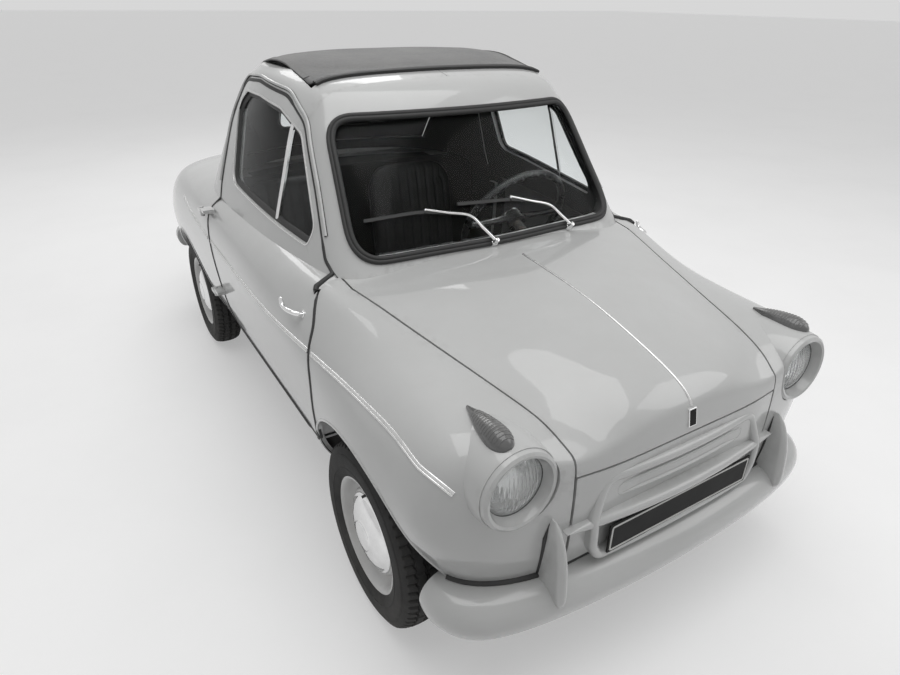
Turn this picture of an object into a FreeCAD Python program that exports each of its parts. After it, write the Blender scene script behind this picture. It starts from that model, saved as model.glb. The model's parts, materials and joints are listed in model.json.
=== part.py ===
"""Two-seat family microcar with a roll-back fabric roof, rear engine and rear-hinged doors.

Frame: the car faces -Y, +X is its left side, +Z is up.
The origin is on the floor under the middle of the car. Lengths are in millimetres.
"""
import FreeCAD, Part
import math
import os

from FreeCAD import Vector as V

# Overall sizes
LENGTH = 2831.0
AXLE_FRONT_Y = -950.0
WHEELBASE = 1693.0
TRACK = 1100.0
AXLE_REAR_Y = AXLE_FRONT_Y + WHEELBASE

# Wheels and tyres
TYRE_R = 240.0
TYRE_W = 113.0
RIM_R = 142.5
RIM_W = 92.0
CAP_R = 100.0
HUB_R = 26.0

# Body panels
SKIN = 14.0
DOOR_T = 46.0
FRAME_T = 58.0
PILLAR_T = 30.0
GLASS_T = 4.0
GLASS_IN = 12.0
SEAL_BITE = 8.0
SEAL_PROUD = 4.0
SEAM = 5.0
DOOR_GAP = 6.0
MIRROR_X = V(1, 0, 0)

# Floor and structure
FLOOR_T = 16.0
TUNNEL_HALF = 60.0
TUNNEL_H = 60.0
TUNNEL_T = 10.0
TUB_HALF = 338.0
TUB_Z = 262.0
TUB_T = 10.0
ARCH_FRONT_R = 300.0
ARCH_REAR_R = 286.0

# Steering and joints
KINGPIN_X = 465.0
COLUMN_X = 265.0
WHEEL_RIM_R = 190.0
WHEEL_TUBE = 12.0
HINGE_X = 641.0
HINGE_Y = 196.0
HINGE_Z = (758.0, 461.0)
HINGE_R = 7.0

# Lamps
LAMP_X = 438.0
LAMP_Y = -1342.0
LAMP_Z = 603.0
LAMP_R = 88.0
LENS_R = 62.0
LAMP_TILT = 0.04

# Bulge of the wing round the headlamp: distance behind the rim's lip, radius
NACELLE = [(14, 90), (40, 94), (80, 97), (120, 97), (165, 92)]


# Body sections from nose to tail, half of each outline: y, then x and z of
# sill edge, lower side, widest point, lower shoulder, upper shoulder, seam line, crown height
BODY = [
    (-1360, 210, 385, 240, 420, 250, 470, 250, 515, 235, 552, 195, 578, 600),
    (-1352, 255, 362, 290, 410, 302, 470, 302, 530, 285, 580, 240, 609, 645),
    (-1337, 340, 345, 390, 410, 408, 490, 408, 570, 375, 622, 298, 628, 668),
    (-1312, 430, 332, 480, 410, 500, 500, 495, 595, 440, 652, 318, 646, 686),
    (-1262, 503, 318, 554, 410, 578, 520, 545, 632, 464, 680, 333, 670, 706),
    (-1160, 532, 300, 588, 398, 612, 525, 572, 640, 478, 692, 352, 692, 734),
    (-1000, 545, 280, 602, 385, 629, 522, 588, 640, 495, 698, 392, 717, 768),
    (-850, 545, 258, 602, 368, 627, 522, 598, 645, 520, 709, 428, 741, 785),
    (-650, 538, 242, 596, 356, 620, 528, 612, 658, 556, 744, 484, 770, 800),
    (-400, 532, 234, 594, 352, 624, 536, 628, 662, 592, 750, 500, 790, 812),
    (0, 532, 232, 594, 352, 625, 538, 632, 662, 610, 754, 508, 802, 824),
    (300, 532, 234, 594, 352, 627, 538, 633, 662, 612, 754, 505, 803, 830),
    (600, 532, 242, 598, 358, 631, 538, 628, 662, 592, 752, 480, 802, 838),
    (900, 530, 262, 594, 368, 626, 530, 610, 655, 560, 732, 440, 775, 804),
    (1110, 518, 284, 576, 380, 603, 516, 582, 628, 525, 696, 400, 732, 745),
    (1255, 490, 304, 540, 388, 560, 498, 537, 588, 478, 640, 360, 664, 672),
    (1335, 436, 322, 472, 390, 488, 472, 468, 540, 415, 582, 315, 600, 607),
    (1372, 350, 344, 378, 392, 390, 452, 377, 502, 336, 532, 258, 546, 552),
    (1382, 270, 364, 292, 395, 302, 435, 293, 470, 262, 493, 200, 505, 510),
]

# Glasshouse plan outlines at each height, half of each, from rear middle to front middle:
# z, then x and y of rear curve, rear corner, rear side, mid side, front side, front corner, screen
GLASS = [
    (700, 645, (212, 628), (418, 555), (564, 400), (592, 140), (578, -200), (542, -500), (498, -660), (270, -716), -728),
    (800, 628, (208, 612), (408, 536), (547, 382), (567, 140), (553, -200), (520, -470), (478, -592), (262, -650), -664),
    (900, 572, (200, 557), (384, 486), (518, 346), (541, 130), (528, -180), (495, -420), (456, -526), (254, -582), -597),
    (1000, 508, (188, 495), (356, 432), (486, 306), (514, 120), (503, -160), (472, -365), (436, -458), (246, -514), -530),
    (1100, 428, (172, 418), (322, 366), (450, 256), (486, 105), (478, -140), (448, -305), (414, -388), (236, -446), -463),
    (1150, 378, (160, 369), (298, 324), (426, 226), (468, 92), (463, -130), (430, -270), (397, -350), (226, -410), -427),
    (1185, 338, (150, 330), (278, 288), (404, 196), (452, 80), (449, -120), (410, -240), (376, -316), (215, -374), -390),
    (1205, 304, (141, 297), (260, 259), (384, 172), (438, 70), (436, -106), (391, -208), (351, -276), (200, -332), -347),
    (1222, 264, (130, 258), (238, 225), (360, 147), (420, 60), (418, -88), (366, -165), (320, -214), (180, -252), -264),
]


def spline(points, params, periodic=False):
    curve = Part.BSplineCurve()
    curve.interpolate(Points=points, Parameters=params, PeriodicFlag=periodic)
    return curve.toShape()


def inset_flat(points, d, closed):
    """Move a row of plane points (u, v) inward along their normals; the row runs anticlockwise."""
    out = []
    n = len(points)
    for i, (u, v) in enumerate(points):
        if closed:
            a = points[(i - 1) % n]
            b = points[(i + 1) % n]
        else:
            a = points[max(i - 1, 0)]
            b = points[min(i + 1, n - 1)]
        tu = b[0] - a[0]
        tv = b[1] - a[1]
        length = math.hypot(tu, tv)
        out.append((u - d * tv / length, v + d * tu / length))
    return out


def chord_params(points, closed=False):
    pts = points + [points[0]] if closed else points
    total = [0.0]
    for a, b in zip(pts, pts[1:]):
        total.append(total[-1] + math.hypot(b[0] - a[0], b[1] - a[1]))
    return [t / total[-1] for t in total]


def body_half(row):
    pairs = list(row[1:13])
    half = [(pairs[i], pairs[i + 1]) for i in range(0, 12, 2)]
    seam_x, seam_z = half[-1]
    half.append((0.5 * seam_x, row[13] - 0.25 * (row[13] - seam_z)))
    half.append((0.0, row[13]))
    return half


def body_outline(row):
    """Whole outline of one section, anticlockwise from the right sill over the left side."""
    half = body_half(row)
    left = [(-x, z) for x, z in reversed(half[:-1])]
    return half + left


def mean_params(rows, outline, closed):
    """Shared curve parameters: the mean of the rows' own chord lengths."""
    table = [chord_params(outline(row), closed) for row in rows]
    return [sum(col) / len(table) for col in zip(*table)]


BODY_PARAMS = mean_params(BODY, body_outline, False)


def body(d=0.0):
    """Solid inside the lower body's skin, moved inward by d."""
    scale = (LENGTH / 2 - d) / (LENGTH / 2)
    wires = []
    for row in BODY:
        y = row[0] * scale
        pts = inset_flat(body_outline(row), d, False)
        pts = [V(x, y, z) for x, z in pts]
        top = spline(pts, BODY_PARAMS)
        base = Part.makeLine(pts[-1], pts[0])
        wires.append(Part.Wire([top, base]))
    return Part.makeLoft(wires, True, False)


def glass_outline(row):
    half = [(0.0, row[1])] + list(row[2:10]) + [(0.0, row[10])]
    other = [(-x, y) for x, y in reversed(half[1:-1])]
    return [(x, y) for x, y in half] + other


GLASS_PARAMS = mean_params(GLASS, glass_outline, True)


def glasshouse(d=0.0):
    """Solid inside the glasshouse skin, moved inward by d, its flat top lowered by d."""
    wires = []
    for row in GLASS:
        drop = d * max(0.0, (row[0] - 1100.0) / 122.0)
        pts = inset_flat(glass_outline(row), -d, True)
        pts = [V(x, y, row[0] - drop) for x, y in pts]
        wires.append(Part.Wire([spline(pts, GLASS_PARAMS, True)]))
    return Part.makeLoft(wires, True, False)


def box(x0, x1, y0, y1, z0, z1):
    return Part.makeBox(x1 - x0, y1 - y0, z1 - z0, V(x0, y0, z0))


def rod(p, q, r):
    p = V(*p)
    q = V(*q)
    return Part.makeCylinder(r, (q - p).Length, p, q - p)


def tube(p, q, r_out, r_in):
    return rod(p, q, r_out).cut(rod(p, q, r_in))


def rounded(points, radii, place):
    """Closed wire through flat points with the corners rounded; place maps (u, v) to a Vector."""
    n = len(points)
    edges = []
    ends = []
    for i, (u, v) in enumerate(points):
        p = V(u, v, 0)
        a = V(*points[i - 1], 0) - p
        b = V(*points[(i + 1) % n], 0) - p
        r = radii[i] if isinstance(radii, (list, tuple)) else radii
        angle = a.getAngle(b)
        if r <= 0.01 or abs(angle - math.pi) < 0.01:
            ends.append((p, p, None))
            continue
        t = r / math.tan(angle / 2)
        t = min(t, 0.48 * a.Length, 0.48 * b.Length)
        r = t * math.tan(angle / 2)
        a.normalize()
        b.normalize()
        bis = a + b
        bis.normalize()
        centre = p + bis * (r / math.sin(angle / 2))
        ends.append((p + a * t, p + b * t, centre - bis * r))
    for i in range(n):
        start, stop, mid = ends[i]
        if mid is not None:
            edges.append(Part.Arc(place(start), place(mid), place(stop)).toShape())
        nxt = ends[(i + 1) % n][0]
        if (nxt - stop).Length > 0.01:
            edges.append(Part.makeLine(place(stop), place(nxt)))
    return Part.Wire(Part.__sortEdges__(edges))


def outward(solid):
    """The same solid with its faces turned outward."""
    return solid if solid.Volume > 0 else solid.reversed()


def side_prism(points, radii, x0, x1):
    wire = rounded(points, radii, lambda p: V(x0, p.x, p.y))
    return outward(Part.Face(wire).extrude(V(x1 - x0, 0, 0)))


def front_prism(points, radii, y0, y1):
    wire = rounded(points, radii, lambda p: V(p.x, y0, p.y))
    return outward(Part.Face(wire).extrude(V(0, y1 - y0, 0)))


def tapered(points, radii, y0, y1, shrink):
    """Solid between an outline in front view at y0 and the same outline shrunk at y1."""
    near = rounded(points, radii, lambda p: V(p.x, y0, p.y))
    far = rounded(grown(points, -shrink), radii, lambda p: V(p.x, y1, p.y))
    return outward(Part.makeLoft([near, far], True, True))


def bevelled(points, radii, front, back, bevel):
    """Prism in front view with a bevelled front edge."""
    return front_prism(points, radii, front + bevel, back).fuse(tapered(points, radii, front + bevel, front, bevel))


def plan_prism(points, radii, z0, z1):
    wire = rounded(points, radii, lambda p: V(p.x, p.y, z0))
    return outward(Part.Face(wire).extrude(V(0, 0, z1 - z0)))


def mirrored(shape):
    return shape.mirror(V(0, 0, 0), MIRROR_X)


def grown(points, d):
    return inset_flat(points, -d, True)


def biggest(shape, keep=1):
    solids = sorted(shape.Solids, key=lambda s: -s.Volume)[:keep]
    return solids[0] if keep == 1 else Part.makeCompound(solids)


def fused(shapes):
    out = shapes[0]
    for s in shapes[1:]:
        out = out.fuse(s)
    return out


NODES = {}


def keep(name, shape):
    solids = shape.Solids
    NODES[name] = solids[0] if len(solids) == 1 else Part.makeCompound(solids)


# Door outline in side view: y, z; anticlockwise seen from +X with +Y to the right
DOOR = [(190, 346), (190, 560), (192, 700), (204, 770), (212, 840), (196, 1040), (110, 1172), (-40, 1182),
        (-214, 1160), (-330, 1104), (-440, 960), (-553, 804), (-617, 763), (-686, 692), (-728, 570),
        (-700, 430), (-664, 346)]
DOOR_RADII = [50, 0, 60, 60, 60, 120, 90, 160, 160, 120, 200, 80, 60, 80, 120, 160, 30]
WINDOW = [(92, 872), (130, 1100), (60, 1146), (-60, 1146), (-200, 1128), (-330, 1080), (-430, 940),
          (-482, 870), (-470, 826), (-300, 838)]
WINDOW_RADII = [50, 60, 50, 80, 100, 60, 120, 40, 16, 200]

# Windscreen opening in front view: x, z; half, from the bottom middle to the top middle
SCREEN = [(-440, 812), (440, 812), (398, 1128), (-398, 1128)]
SCREEN_RADII = [62, 62, 70, 70]
SCREEN_BACK_Y = -300.0

# Seam lines between the bonnet and the wings in plan: x at y
SEAM_LINE = [(478, -560), (474, -674), (445, -785), (406, -944), (377, -1061), (351, -1169),
             (333, -1241), (321, -1303), (314, -1330), (312, -1480)]
NOSE_Z = 588.0
DOOR_FRONT_Y = -600.0

# Engine lid and fabric roof outlines
LID_HALF = 330.0
LID_TOP_Y = 640.0
LID_LOW_Z = 470.0
LID_GAP = 5.0
FABRIC_HALF = 392.0
FABRIC_Y = -280.0
FABRIC_T = 9.0
FABRIC_Z = 862.0
REST = 0.3
DECK_HALF = 200.0
BACK_WINDOW = (250.0, 940.0, 1085.0)
LOUVRES = 7
LOUVRE_Y = 800.0
LOUVRE_PITCH = 26.0
LOUVRE_SLOT = 8.0
LOUVRE_X = 60.0
LOUVRE_W = 130.0
JACK = (470.0, 530.0, -140.0, -60.0, 228.0)

outer = body()
inner = body(SKIN)
deep = body(FRAME_T)
door_in = body(DOOR_T)
shell = outer.cut(inner)
house = glasshouse()
house_in = glasshouse(PILLAR_T)
house_wall = house.cut(house_in).cut(outer)

# Cutting volumes
door_cut = side_prism(grown(DOOR, DOOR_GAP), DOOR_RADII, -380, -720)
door_body = side_prism(DOOR, DOOR_RADII, -380, -720)
window_cut = side_prism(WINDOW, WINDOW_RADII, -380, -720)
screen_cut = front_prism(SCREEN, SCREEN_RADII, -800, SCREEN_BACK_Y)
lid_cut = box(-LID_HALF - LID_GAP, LID_HALF + LID_GAP, LID_TOP_Y - LID_GAP, 1480, LID_LOW_Z - LID_GAP, 900)
bonnet_plan = plan_prism([(x - SEAM / 2, y) for x, y in SEAM_LINE]
                         + [(-x + SEAM / 2, y) for x, y in reversed(SEAM_LINE)], 0, 560, 900)
wing_plan = plan_prism([(-x - SEAM / 2, y) for x, y in SEAM_LINE] + [(-720, -1480), (-720, -560)], 0, 150, 900)
arch_front = rod((-720, AXLE_FRONT_Y, TYRE_R), (-300, AXLE_FRONT_Y, TYRE_R), ARCH_FRONT_R)
arch_rear = rod((-720, AXLE_REAR_Y, TYRE_R), (-300, AXLE_REAR_Y, TYRE_R), ARCH_REAR_R)

under_cut = box(-500, 500, -1290, 1290, 150, 330)

# Bonnet and scuttle
bonnet = shell.common(bonnet_plan).common(box(-500, 500, -1480, -560, NOSE_Z + SEAM / 2, 900))
bonnet = bonnet.cut(house_in).cut(door_cut).cut(mirrored(door_cut))
keep("bonnet_panel", biggest(bonnet))

# Nose panel below the bonnet
nose = shell.common(box(-312 + SEAM / 2, 312 - SEAM / 2, -1480, -1240, 330, NOSE_Z - SEAM / 2))
keep("nose_panel", biggest(nose))

# Front wings with the bowl for the headlamp
wing = shell.common(wing_plan).common(box(-720, -300, -1480, DOOR_FRONT_Y, 200, 900))
wing = wing.cut(door_cut).cut(arch_front).cut(house_in)
lamp_at = V(-LAMP_X, LAMP_Y, LAMP_Z)
lamp_axis = V(0, -1, LAMP_TILT)
lamp_axis.normalize()
lamp_hole = Part.makeCylinder(LAMP_R + REST, 200, lamp_at - lamp_axis * 104.5, lamp_axis)
nacelle_rings = [Part.Wire([Part.makeCircle(r, lamp_at - lamp_axis * d, lamp_axis)]) for d, r in NACELLE]
nacelle = outward(Part.makeLoft(nacelle_rings, True, False))
wing = wing.fuse(nacelle.cut(inner)).cut(lamp_hole)
wing = biggest(wing.cut(under_cut))
keep("front_wing_r", wing)
keep("front_wing_l", mirrored(wing))

# Rear quarters with the pillar behind the door and the roof rail
quarter = shell.common(box(-720, -DECK_HALF, 100, 1480, 200, 900)).cut(door_cut).cut(arch_rear).cut(house_in).cut(lid_cut)
quarter = quarter.cut(box(-LID_HALF - LID_GAP, LID_HALF, 1000, 1480, 200, LID_LOW_Z + 20)).cut(under_cut)
quarter = biggest(quarter)
fabric_plan = box(-FABRIC_HALF - REST, FABRIC_HALF + REST, FABRIC_Y, 900, FABRIC_Z - REST, 1400)
pillar = house_wall.common(box(-720, -1, -340, 700, 780, 1300)).cut(door_cut).cut(fabric_plan)
pillar = biggest(pillar.cut(box(-DECK_HALF, 0, 300, 900, 700, 900)))
quarter = biggest(quarter.fuse(pillar))
keep("rear_quarter_r", quarter)
keep("rear_quarter_l", mirrored(quarter))

# Deck between the fabric roof and the engine lid
deck_box = box(-DECK_HALF, DECK_HALF, 300, LID_TOP_Y - LID_GAP, 700, FABRIC_Z - REST)
deck = shell.common(deck_box).cut(house_in)
lip = house_wall.common(deck_box)
keep("rear_deck", biggest(biggest(deck).fuse(biggest(lip))))

# Windscreen surround
surround = house_wall.common(box(-600, 600, -800, -340, 700, 1300))
surround = surround.cut(door_cut).cut(mirrored(door_cut)).cut(screen_cut)
keep("screen_surround", biggest(surround))

# Tail panel under the engine lid
tail = shell.common(box(-LID_HALF, LID_HALF, 1000, 1480, 300, LID_LOW_Z - LID_GAP)).cut(under_cut)
keep("tail_panel", biggest(tail))
lid = shell.common(box(-LID_HALF, LID_HALF, LID_TOP_Y, 1480, LID_LOW_Z, 900)).cut(house)
# Louvres in the lid: two columns of slots across the slope
for i in range(LOUVRES):
    y0 = LOUVRE_Y + i * LOUVRE_PITCH
    for x0 in (-LOUVRE_X - LOUVRE_W, LOUVRE_X):
        lid = lid.cut(box(x0, x0 + LOUVRE_W, y0, y0 + LOUVRE_SLOT, 600, 900))
keep("engine_lid", biggest(lid))

# Fabric roof: a sheet over the opening and down the back, with a crown on top
fabric_out = glasshouse(-3.0)
fabric_in = glasshouse(FABRIC_T)
fabric = fabric_out.cut(fabric_in).common(box(-FABRIC_HALF, FABRIC_HALF, FABRIC_Y + REST, 900, FABRIC_Z, 1400))
back_window = front_prism([(-BACK_WINDOW[0], BACK_WINDOW[1]), (BACK_WINDOW[0], BACK_WINDOW[1]),
                           (BACK_WINDOW[0], BACK_WINDOW[2]), (-BACK_WINDOW[0], BACK_WINDOW[2])], 40, 250, 760)
top_row = GLASS[-1]
crown_wires = []
for lift, d in ((3.0, 4.0), (17.0, 46.0), (27.0, 100.0), (32.0, 160.0)):
    pts = inset_flat(glass_outline(top_row), -d, True)
    crown_wires.append(Part.Wire([spline([V(x, y, top_row[0] + lift) for x, y in pts], GLASS_PARAMS, True)]))
crown = Part.makeLoft(crown_wires, True, False)
crown = crown.common(box(-FABRIC_HALF, FABRIC_HALF, FABRIC_Y + REST, 900, 1100, 1400))
fabric = biggest(fabric.cut(back_window))
keep("fabric_roof", biggest(fabric.fuse(crown)))
pane = glasshouse(1.0).cut(glasshouse(1.0 + GLASS_T)).common(back_window)
keep("rear_window", biggest(pane))

# Doors
door_low = outer.cut(door_in).common(door_body).cut(house_in)
door_up = house_wall.common(door_body).cut(window_cut)
door = biggest(biggest(door_low).fuse(biggest(door_up)))
keep("door_r", door)
keep("door_l", mirrored(door))

# Glass
glass_band = glasshouse(GLASS_IN).cut(glasshouse(GLASS_IN + GLASS_T))
door_glass = biggest(glass_band.common(window_cut.common(box(-720, -380, -700, 300, 780, 1300))))
keep("door_glass_r", door_glass)
keep("door_glass_l", mirrored(door_glass))
screen_in = front_prism(grown(SCREEN, -SEAL_BITE), SCREEN_RADII, -800, SCREEN_BACK_Y)
screen = biggest(glass_band.common(screen_in).cut(outer))
keep("windscreen", screen)
seal_band = glasshouse(-SEAL_PROUD).cut(glasshouse(GLASS_IN + GLASS_T + SEAL_PROUD))
seal_ring = front_prism(grown(SCREEN, SEAL_BITE + 3), [r + 8 for r in SCREEN_RADII], -800, SCREEN_BACK_Y)
seal_ring = seal_ring.cut(front_prism(grown(SCREEN, -2 * SEAL_BITE), SCREEN_RADII, -810, SCREEN_BACK_Y + 10))
seal = seal_band.common(seal_ring).cut(NODES["screen_surround"]).cut(screen).cut(outer)
keep("screen_seal", biggest(seal))

# Floor with sills and tunnel
FLOOR_TOP = 254.0
SILL_IN = 468.0
SILL_TOP = 338.0
FLOOR_Y0 = -644.0
FLOOR_Y1 = 440.0
floor = box(-SILL_IN, SILL_IN, FLOOR_Y0, FLOOR_Y1, FLOOR_TOP - FLOOR_T, FLOOR_TOP)
sill = biggest(inner.common(box(-720, -SILL_IN, FLOOR_Y0, FLOOR_Y1, 200, SILL_TOP)))
tunnel_in = TUNNEL_HALF - TUNNEL_T
tunnel = box(-TUNNEL_HALF, TUNNEL_HALF, FLOOR_Y0, FLOOR_Y1, FLOOR_TOP, FLOOR_TOP + TUNNEL_H)
hollow = box(-tunnel_in, tunnel_in, FLOOR_Y0 - 1, FLOOR_Y1 + 1, FLOOR_TOP - 1, FLOOR_TOP + TUNNEL_H - TUNNEL_T)
tunnel = tunnel.cut(hollow)
floor = floor.cut(box(-tunnel_in, tunnel_in, FLOOR_Y0 - 1, FLOOR_Y1 + 1, 0, 900))
jack = box(*JACK, SILL_TOP - 60)
keep("floor_pan", biggest(fused([floor, tunnel, sill, mirrored(sill), jack, mirrored(jack)])))

# Front and rear bulkheads
BULK_T = 12.0
slab = box(-720, 720, FLOOR_Y0 - BULK_T, FLOOR_Y0, FLOOR_TOP - FLOOR_T, 900)
fire = fused([deep.common(slab), inner.common(slab).common(box(-440, 440, -900, 0, 560, 900))])
fire = fire.cut(house_in)
keep("front_bulkhead", biggest(fire))
SHELF_Z = 792.0
slab = box(-720, 720, FLOOR_Y1, FLOOR_Y1 + BULK_T, FLOOR_TOP - FLOOR_T, SHELF_Z)
shelf = inner.common(box(-720, 720, FLOOR_Y1, 632, SHELF_Z - BULK_T, SHELF_Z))
keep("rear_bulkhead", biggest(fused([inner.common(slab), shelf])))

# Door posts inside the skin
post_ring = side_prism(grown(DOOR, 48), DOOR_RADII, -380, -720).cut(door_cut)
posts = inner.cut(deep).common(post_ring).common(box(-720, -400, -800, 300, SILL_TOP, 780))
posts = posts.cut(rod((-720, AXLE_FRONT_Y, TYRE_R), (-300, AXLE_FRONT_Y, TYRE_R), ARCH_FRONT_R + 4))
posts = posts.cut(house)
posts = sorted(posts.Solids, key=lambda q: -q.Volume)[:2]
keep("door_posts", Part.makeCompound(posts + [mirrored(q) for q in posts]))

# Front compartment tub between the wheelhouses
tub_top = inner.common(box(-TUB_HALF, TUB_HALF, -1325, FLOOR_Y0 - BULK_T, 300, 900))
tub_low = box(-TUB_HALF, TUB_HALF, -1230, FLOOR_Y0 - BULK_T, TUB_Z, 401)
tub_in = box(-TUB_HALF + TUB_T, TUB_HALF - TUB_T, -1325 + TUB_T, FLOOR_Y0 - BULK_T - TUB_T, TUB_Z + TUB_T, 901)
tub = biggest(tub_top.fuse(tub_low).cut(tub_in))
keep("front_tub", tub)

# Rear wheelhouses
liner = rod((-640, AXLE_REAR_Y, TYRE_R), (-425, AXLE_REAR_Y, TYRE_R), ARCH_REAR_R + 8)
liner = liner.cut(rod((-641, AXLE_REAR_Y, TYRE_R), (-435, AXLE_REAR_Y, TYRE_R), ARCH_REAR_R))
liner = liner.cut(box(-440, -400, AXLE_REAR_Y - 125, AXLE_REAR_Y + 60, 150, 372))
liner = biggest(liner.common(inner).common(box(-720, 0, FLOOR_Y1 + BULK_T, 1100, 262, 900)))
keep("rear_wheelhouses", Part.makeCompound([liner, mirrored(liner)]))

# Rear frame rails under the engine
rails = []
for side in (-1, 1):
    x0 = side * 268.0
    rails.append(box(min(x0, x0 - side * 40), max(x0, x0 - side * 40), FLOOR_Y1 + BULK_T, 1210, 262, 300))
cross = box(-268, 268, 1172, 1210, 262, 300)
keep("rear_rails", biggest(fused(rails + [cross])))

# Engine with gearbox, one block each, on the rails
engine = box(-228, 228, 880, 1170, 262, 560)
gearbox = box(-110, 110, 640, 881, 190, 360)
keep("engine_block", biggest(fused([engine, gearbox])))

# Bumpers: a deep shelf that rolls over to a rounded face
# slice height and how far its outer line lies inside the widest one
BUMPER = [(240, 34), (250, 12), (275, 1), (300, 0), (322, 10), (338, 32), (343, 62)]
BUMPER_T = 88.0
BUMPER_PLAN = [(594, -1222), (588, -1282), (548, -1340), (455, -1380), (300, -1403), (0, -1415.5)]
REAR_LIFT = 56.0


def bumper_slice(plan, z, inset, depth):
    full = plan + [(-x, y) for x, y in reversed(plan[:-1])]
    lines = []
    for d in (inset, depth):
        curve = Part.BSplineCurve()
        curve.interpolate([V(x, y, z) for x, y in inset_flat(full, -d, False)])
        lines.append(curve.toShape())
    first = lines[0].Vertexes
    second = lines[1].Vertexes
    ends = [Part.makeLine(first[-1].Point, second[-1].Point), Part.makeLine(second[0].Point, first[0].Point)]
    return Part.Wire(Part.__sortEdges__(lines + ends))


front_bumper = outward(Part.makeLoft([bumper_slice(BUMPER_PLAN, z, d, BUMPER_T) for z, d in BUMPER], True, False))
rear_bumper = front_bumper.copy()
rear_bumper.rotate(V(0, 0, 0), V(0, 0, 1), 180)
rear_bumper.translate(V(0, 0, REAR_LIFT))
keep("front_bumper", biggest(front_bumper.cut(outer)))
keep("rear_bumper", biggest(rear_bumper.cut(outer)))

# Bumper guards, fin shaped
GUARD_X = 360.0
GUARD_T = 26.0
GUARD = [(-1290, 504), (-1290, 345), (-1350, 312), (-1392, 306), (-1408, 345), (-1404, 410), (-1380, 462), (-1340, 497)]
guard = side_prism(GUARD, [0, 0, 20, 12, 30, 60, 50, 30], GUARD_X - GUARD_T / 2, GUARD_X + GUARD_T / 2)
ridge = [e for e in guard.Edges if e.BoundBox.XLength < 0.1 and e.BoundBox.YMin < -1291]
guard = guard.makeFillet(9, ridge)
guard = biggest(guard.cut(outer).cut(front_bumper))
keep("bumper_guards", Part.makeCompound([guard, mirrored(guard)]))

# Headlamps: rim with its bowl, and a domed lens, turned about the lamp's axis


def turned_lamp(points):
    """Solid of revolution of (distance forward, radius) pairs about the lamp's axis."""
    wire = Part.makePolygon([V(0, -a, r) for a, r in points + [points[0]]])
    solid = Part.Face(wire).revolve(V(0, 0, 0), V(0, 1, 0), 360)
    solid.rotate(V(0, 0, 0), V(1, 0, 0), math.degrees(math.atan(-LAMP_TILT)))
    solid.translate(lamp_at)
    return outward(solid)


RIM = [(-104, LAMP_R - 2), (-14, LAMP_R), (-4, LAMP_R - 2), (0, LAMP_R - 8), (-2, LAMP_R - 14), (-34, LENS_R + 0.5),
       (-42.3, LENS_R + 0.5), (-42.3, LENS_R - 4), (-84, 44), (-98, 18), (-98, 0), (-102, 0), (-102, 20), (-88, 48),
       (-60, LENS_R + 8), (-104, LAMP_R - 6)]
LENS = [(-42, 0), (-42, LENS_R), (-35, LENS_R), (-28, 52), (-22, 34), (-19, 14), (-18, 0)]
rim = turned_lamp(RIM)
lens = turned_lamp(LENS)
keep("headlamp_rims", Part.makeCompound([rim, mirrored(rim)]))
keep("headlamp_lenses", Part.makeCompound([lens, mirrored(lens)]))

# Turn signals on the wings, tail lamps on the quarters


def pod(x, y, z, rx, ry, rz, pitch):
    ball = Part.makeSphere(1.0)
    m = FreeCAD.Matrix()
    m.scale(rx, ry, rz)
    ball = ball.transformGeometry(m)
    ball.rotate(V(0, 0, 0), V(1, 0, 0), pitch)
    ball.translate(V(x, y, z))
    return ball


# Teardrop: share of the way from tip to front, and radius
DROP = [(0.0, 3.0), (0.18, 11.0), (0.4, 20.0), (0.62, 25.5), (0.8, 26.0), (0.93, 19.0), (1.0, 7.0)]
drop_tip = V(-450, -1165, 698)
drop_end = V(-456, -1314, 690)
drop_dir = drop_end - drop_tip
rings = []
for share, radius in DROP:
    rings.append(Part.Wire(Part.makeCircle(radius, drop_tip + drop_dir * share, drop_dir)))
signal = outward(Part.makeLoft(rings, True, False)).cut(outer).cut(nacelle)
signal = biggest(signal.cut(rim))
keep("turn_signals", Part.makeCompound([signal, mirrored(signal)]))
tail_lamp = biggest(pod(-452, 1318, 545, 34, 46, 52, 0).cut(outer))
keep("tail_lamps", Part.makeCompound([tail_lamp, mirrored(tail_lamp)]))

# Nose ring with its bar and the oblong panel inside, and number plates
RING = [(-250, 354), (250, 354), (272, 398), (275, 470), (238, 566), (-238, 566), (-275, 470), (-272, 398)]
RING_W = 20.0
RING_FRONT = -1386.0
BAR = [(-345, 462), (-270, 449), (270, 449), (305, 462), (270, 473), (-270, 473)]
PANEL = [(-205, 498), (205, 498), (205, 536), (-205, 536)]
ring = bevelled(RING, 34, RING_FRONT, -1330, 6)
ring_hole = fused([front_prism(grown(RING, -RING_W), 26, -1400, -1320),
                   tapered(grown(RING, -RING_W), 26, RING_FRONT + 6, RING_FRONT - 1, -7)])
ring = ring.cut(ring_hole)
bar = bevelled(BAR, 3, -1392, -1300, 3)
panel = bevelled(PANEL, 18, -1376, -1300, 9)
ring = biggest(fused([ring, bar]).cut(outer))
panel = biggest(panel.cut(outer))
keep("nose_ring", Part.makeCompound([ring, panel]))
keep("plate_front", biggest(box(-227.5, 227.5, -1383, -1379, 372.5, 448.5).cut(ring)))
plate_rear = box(-200, 200, 1360, 1387, 478, 552).cut(outer)
keep("plate_rear", biggest(plate_rear))

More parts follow.
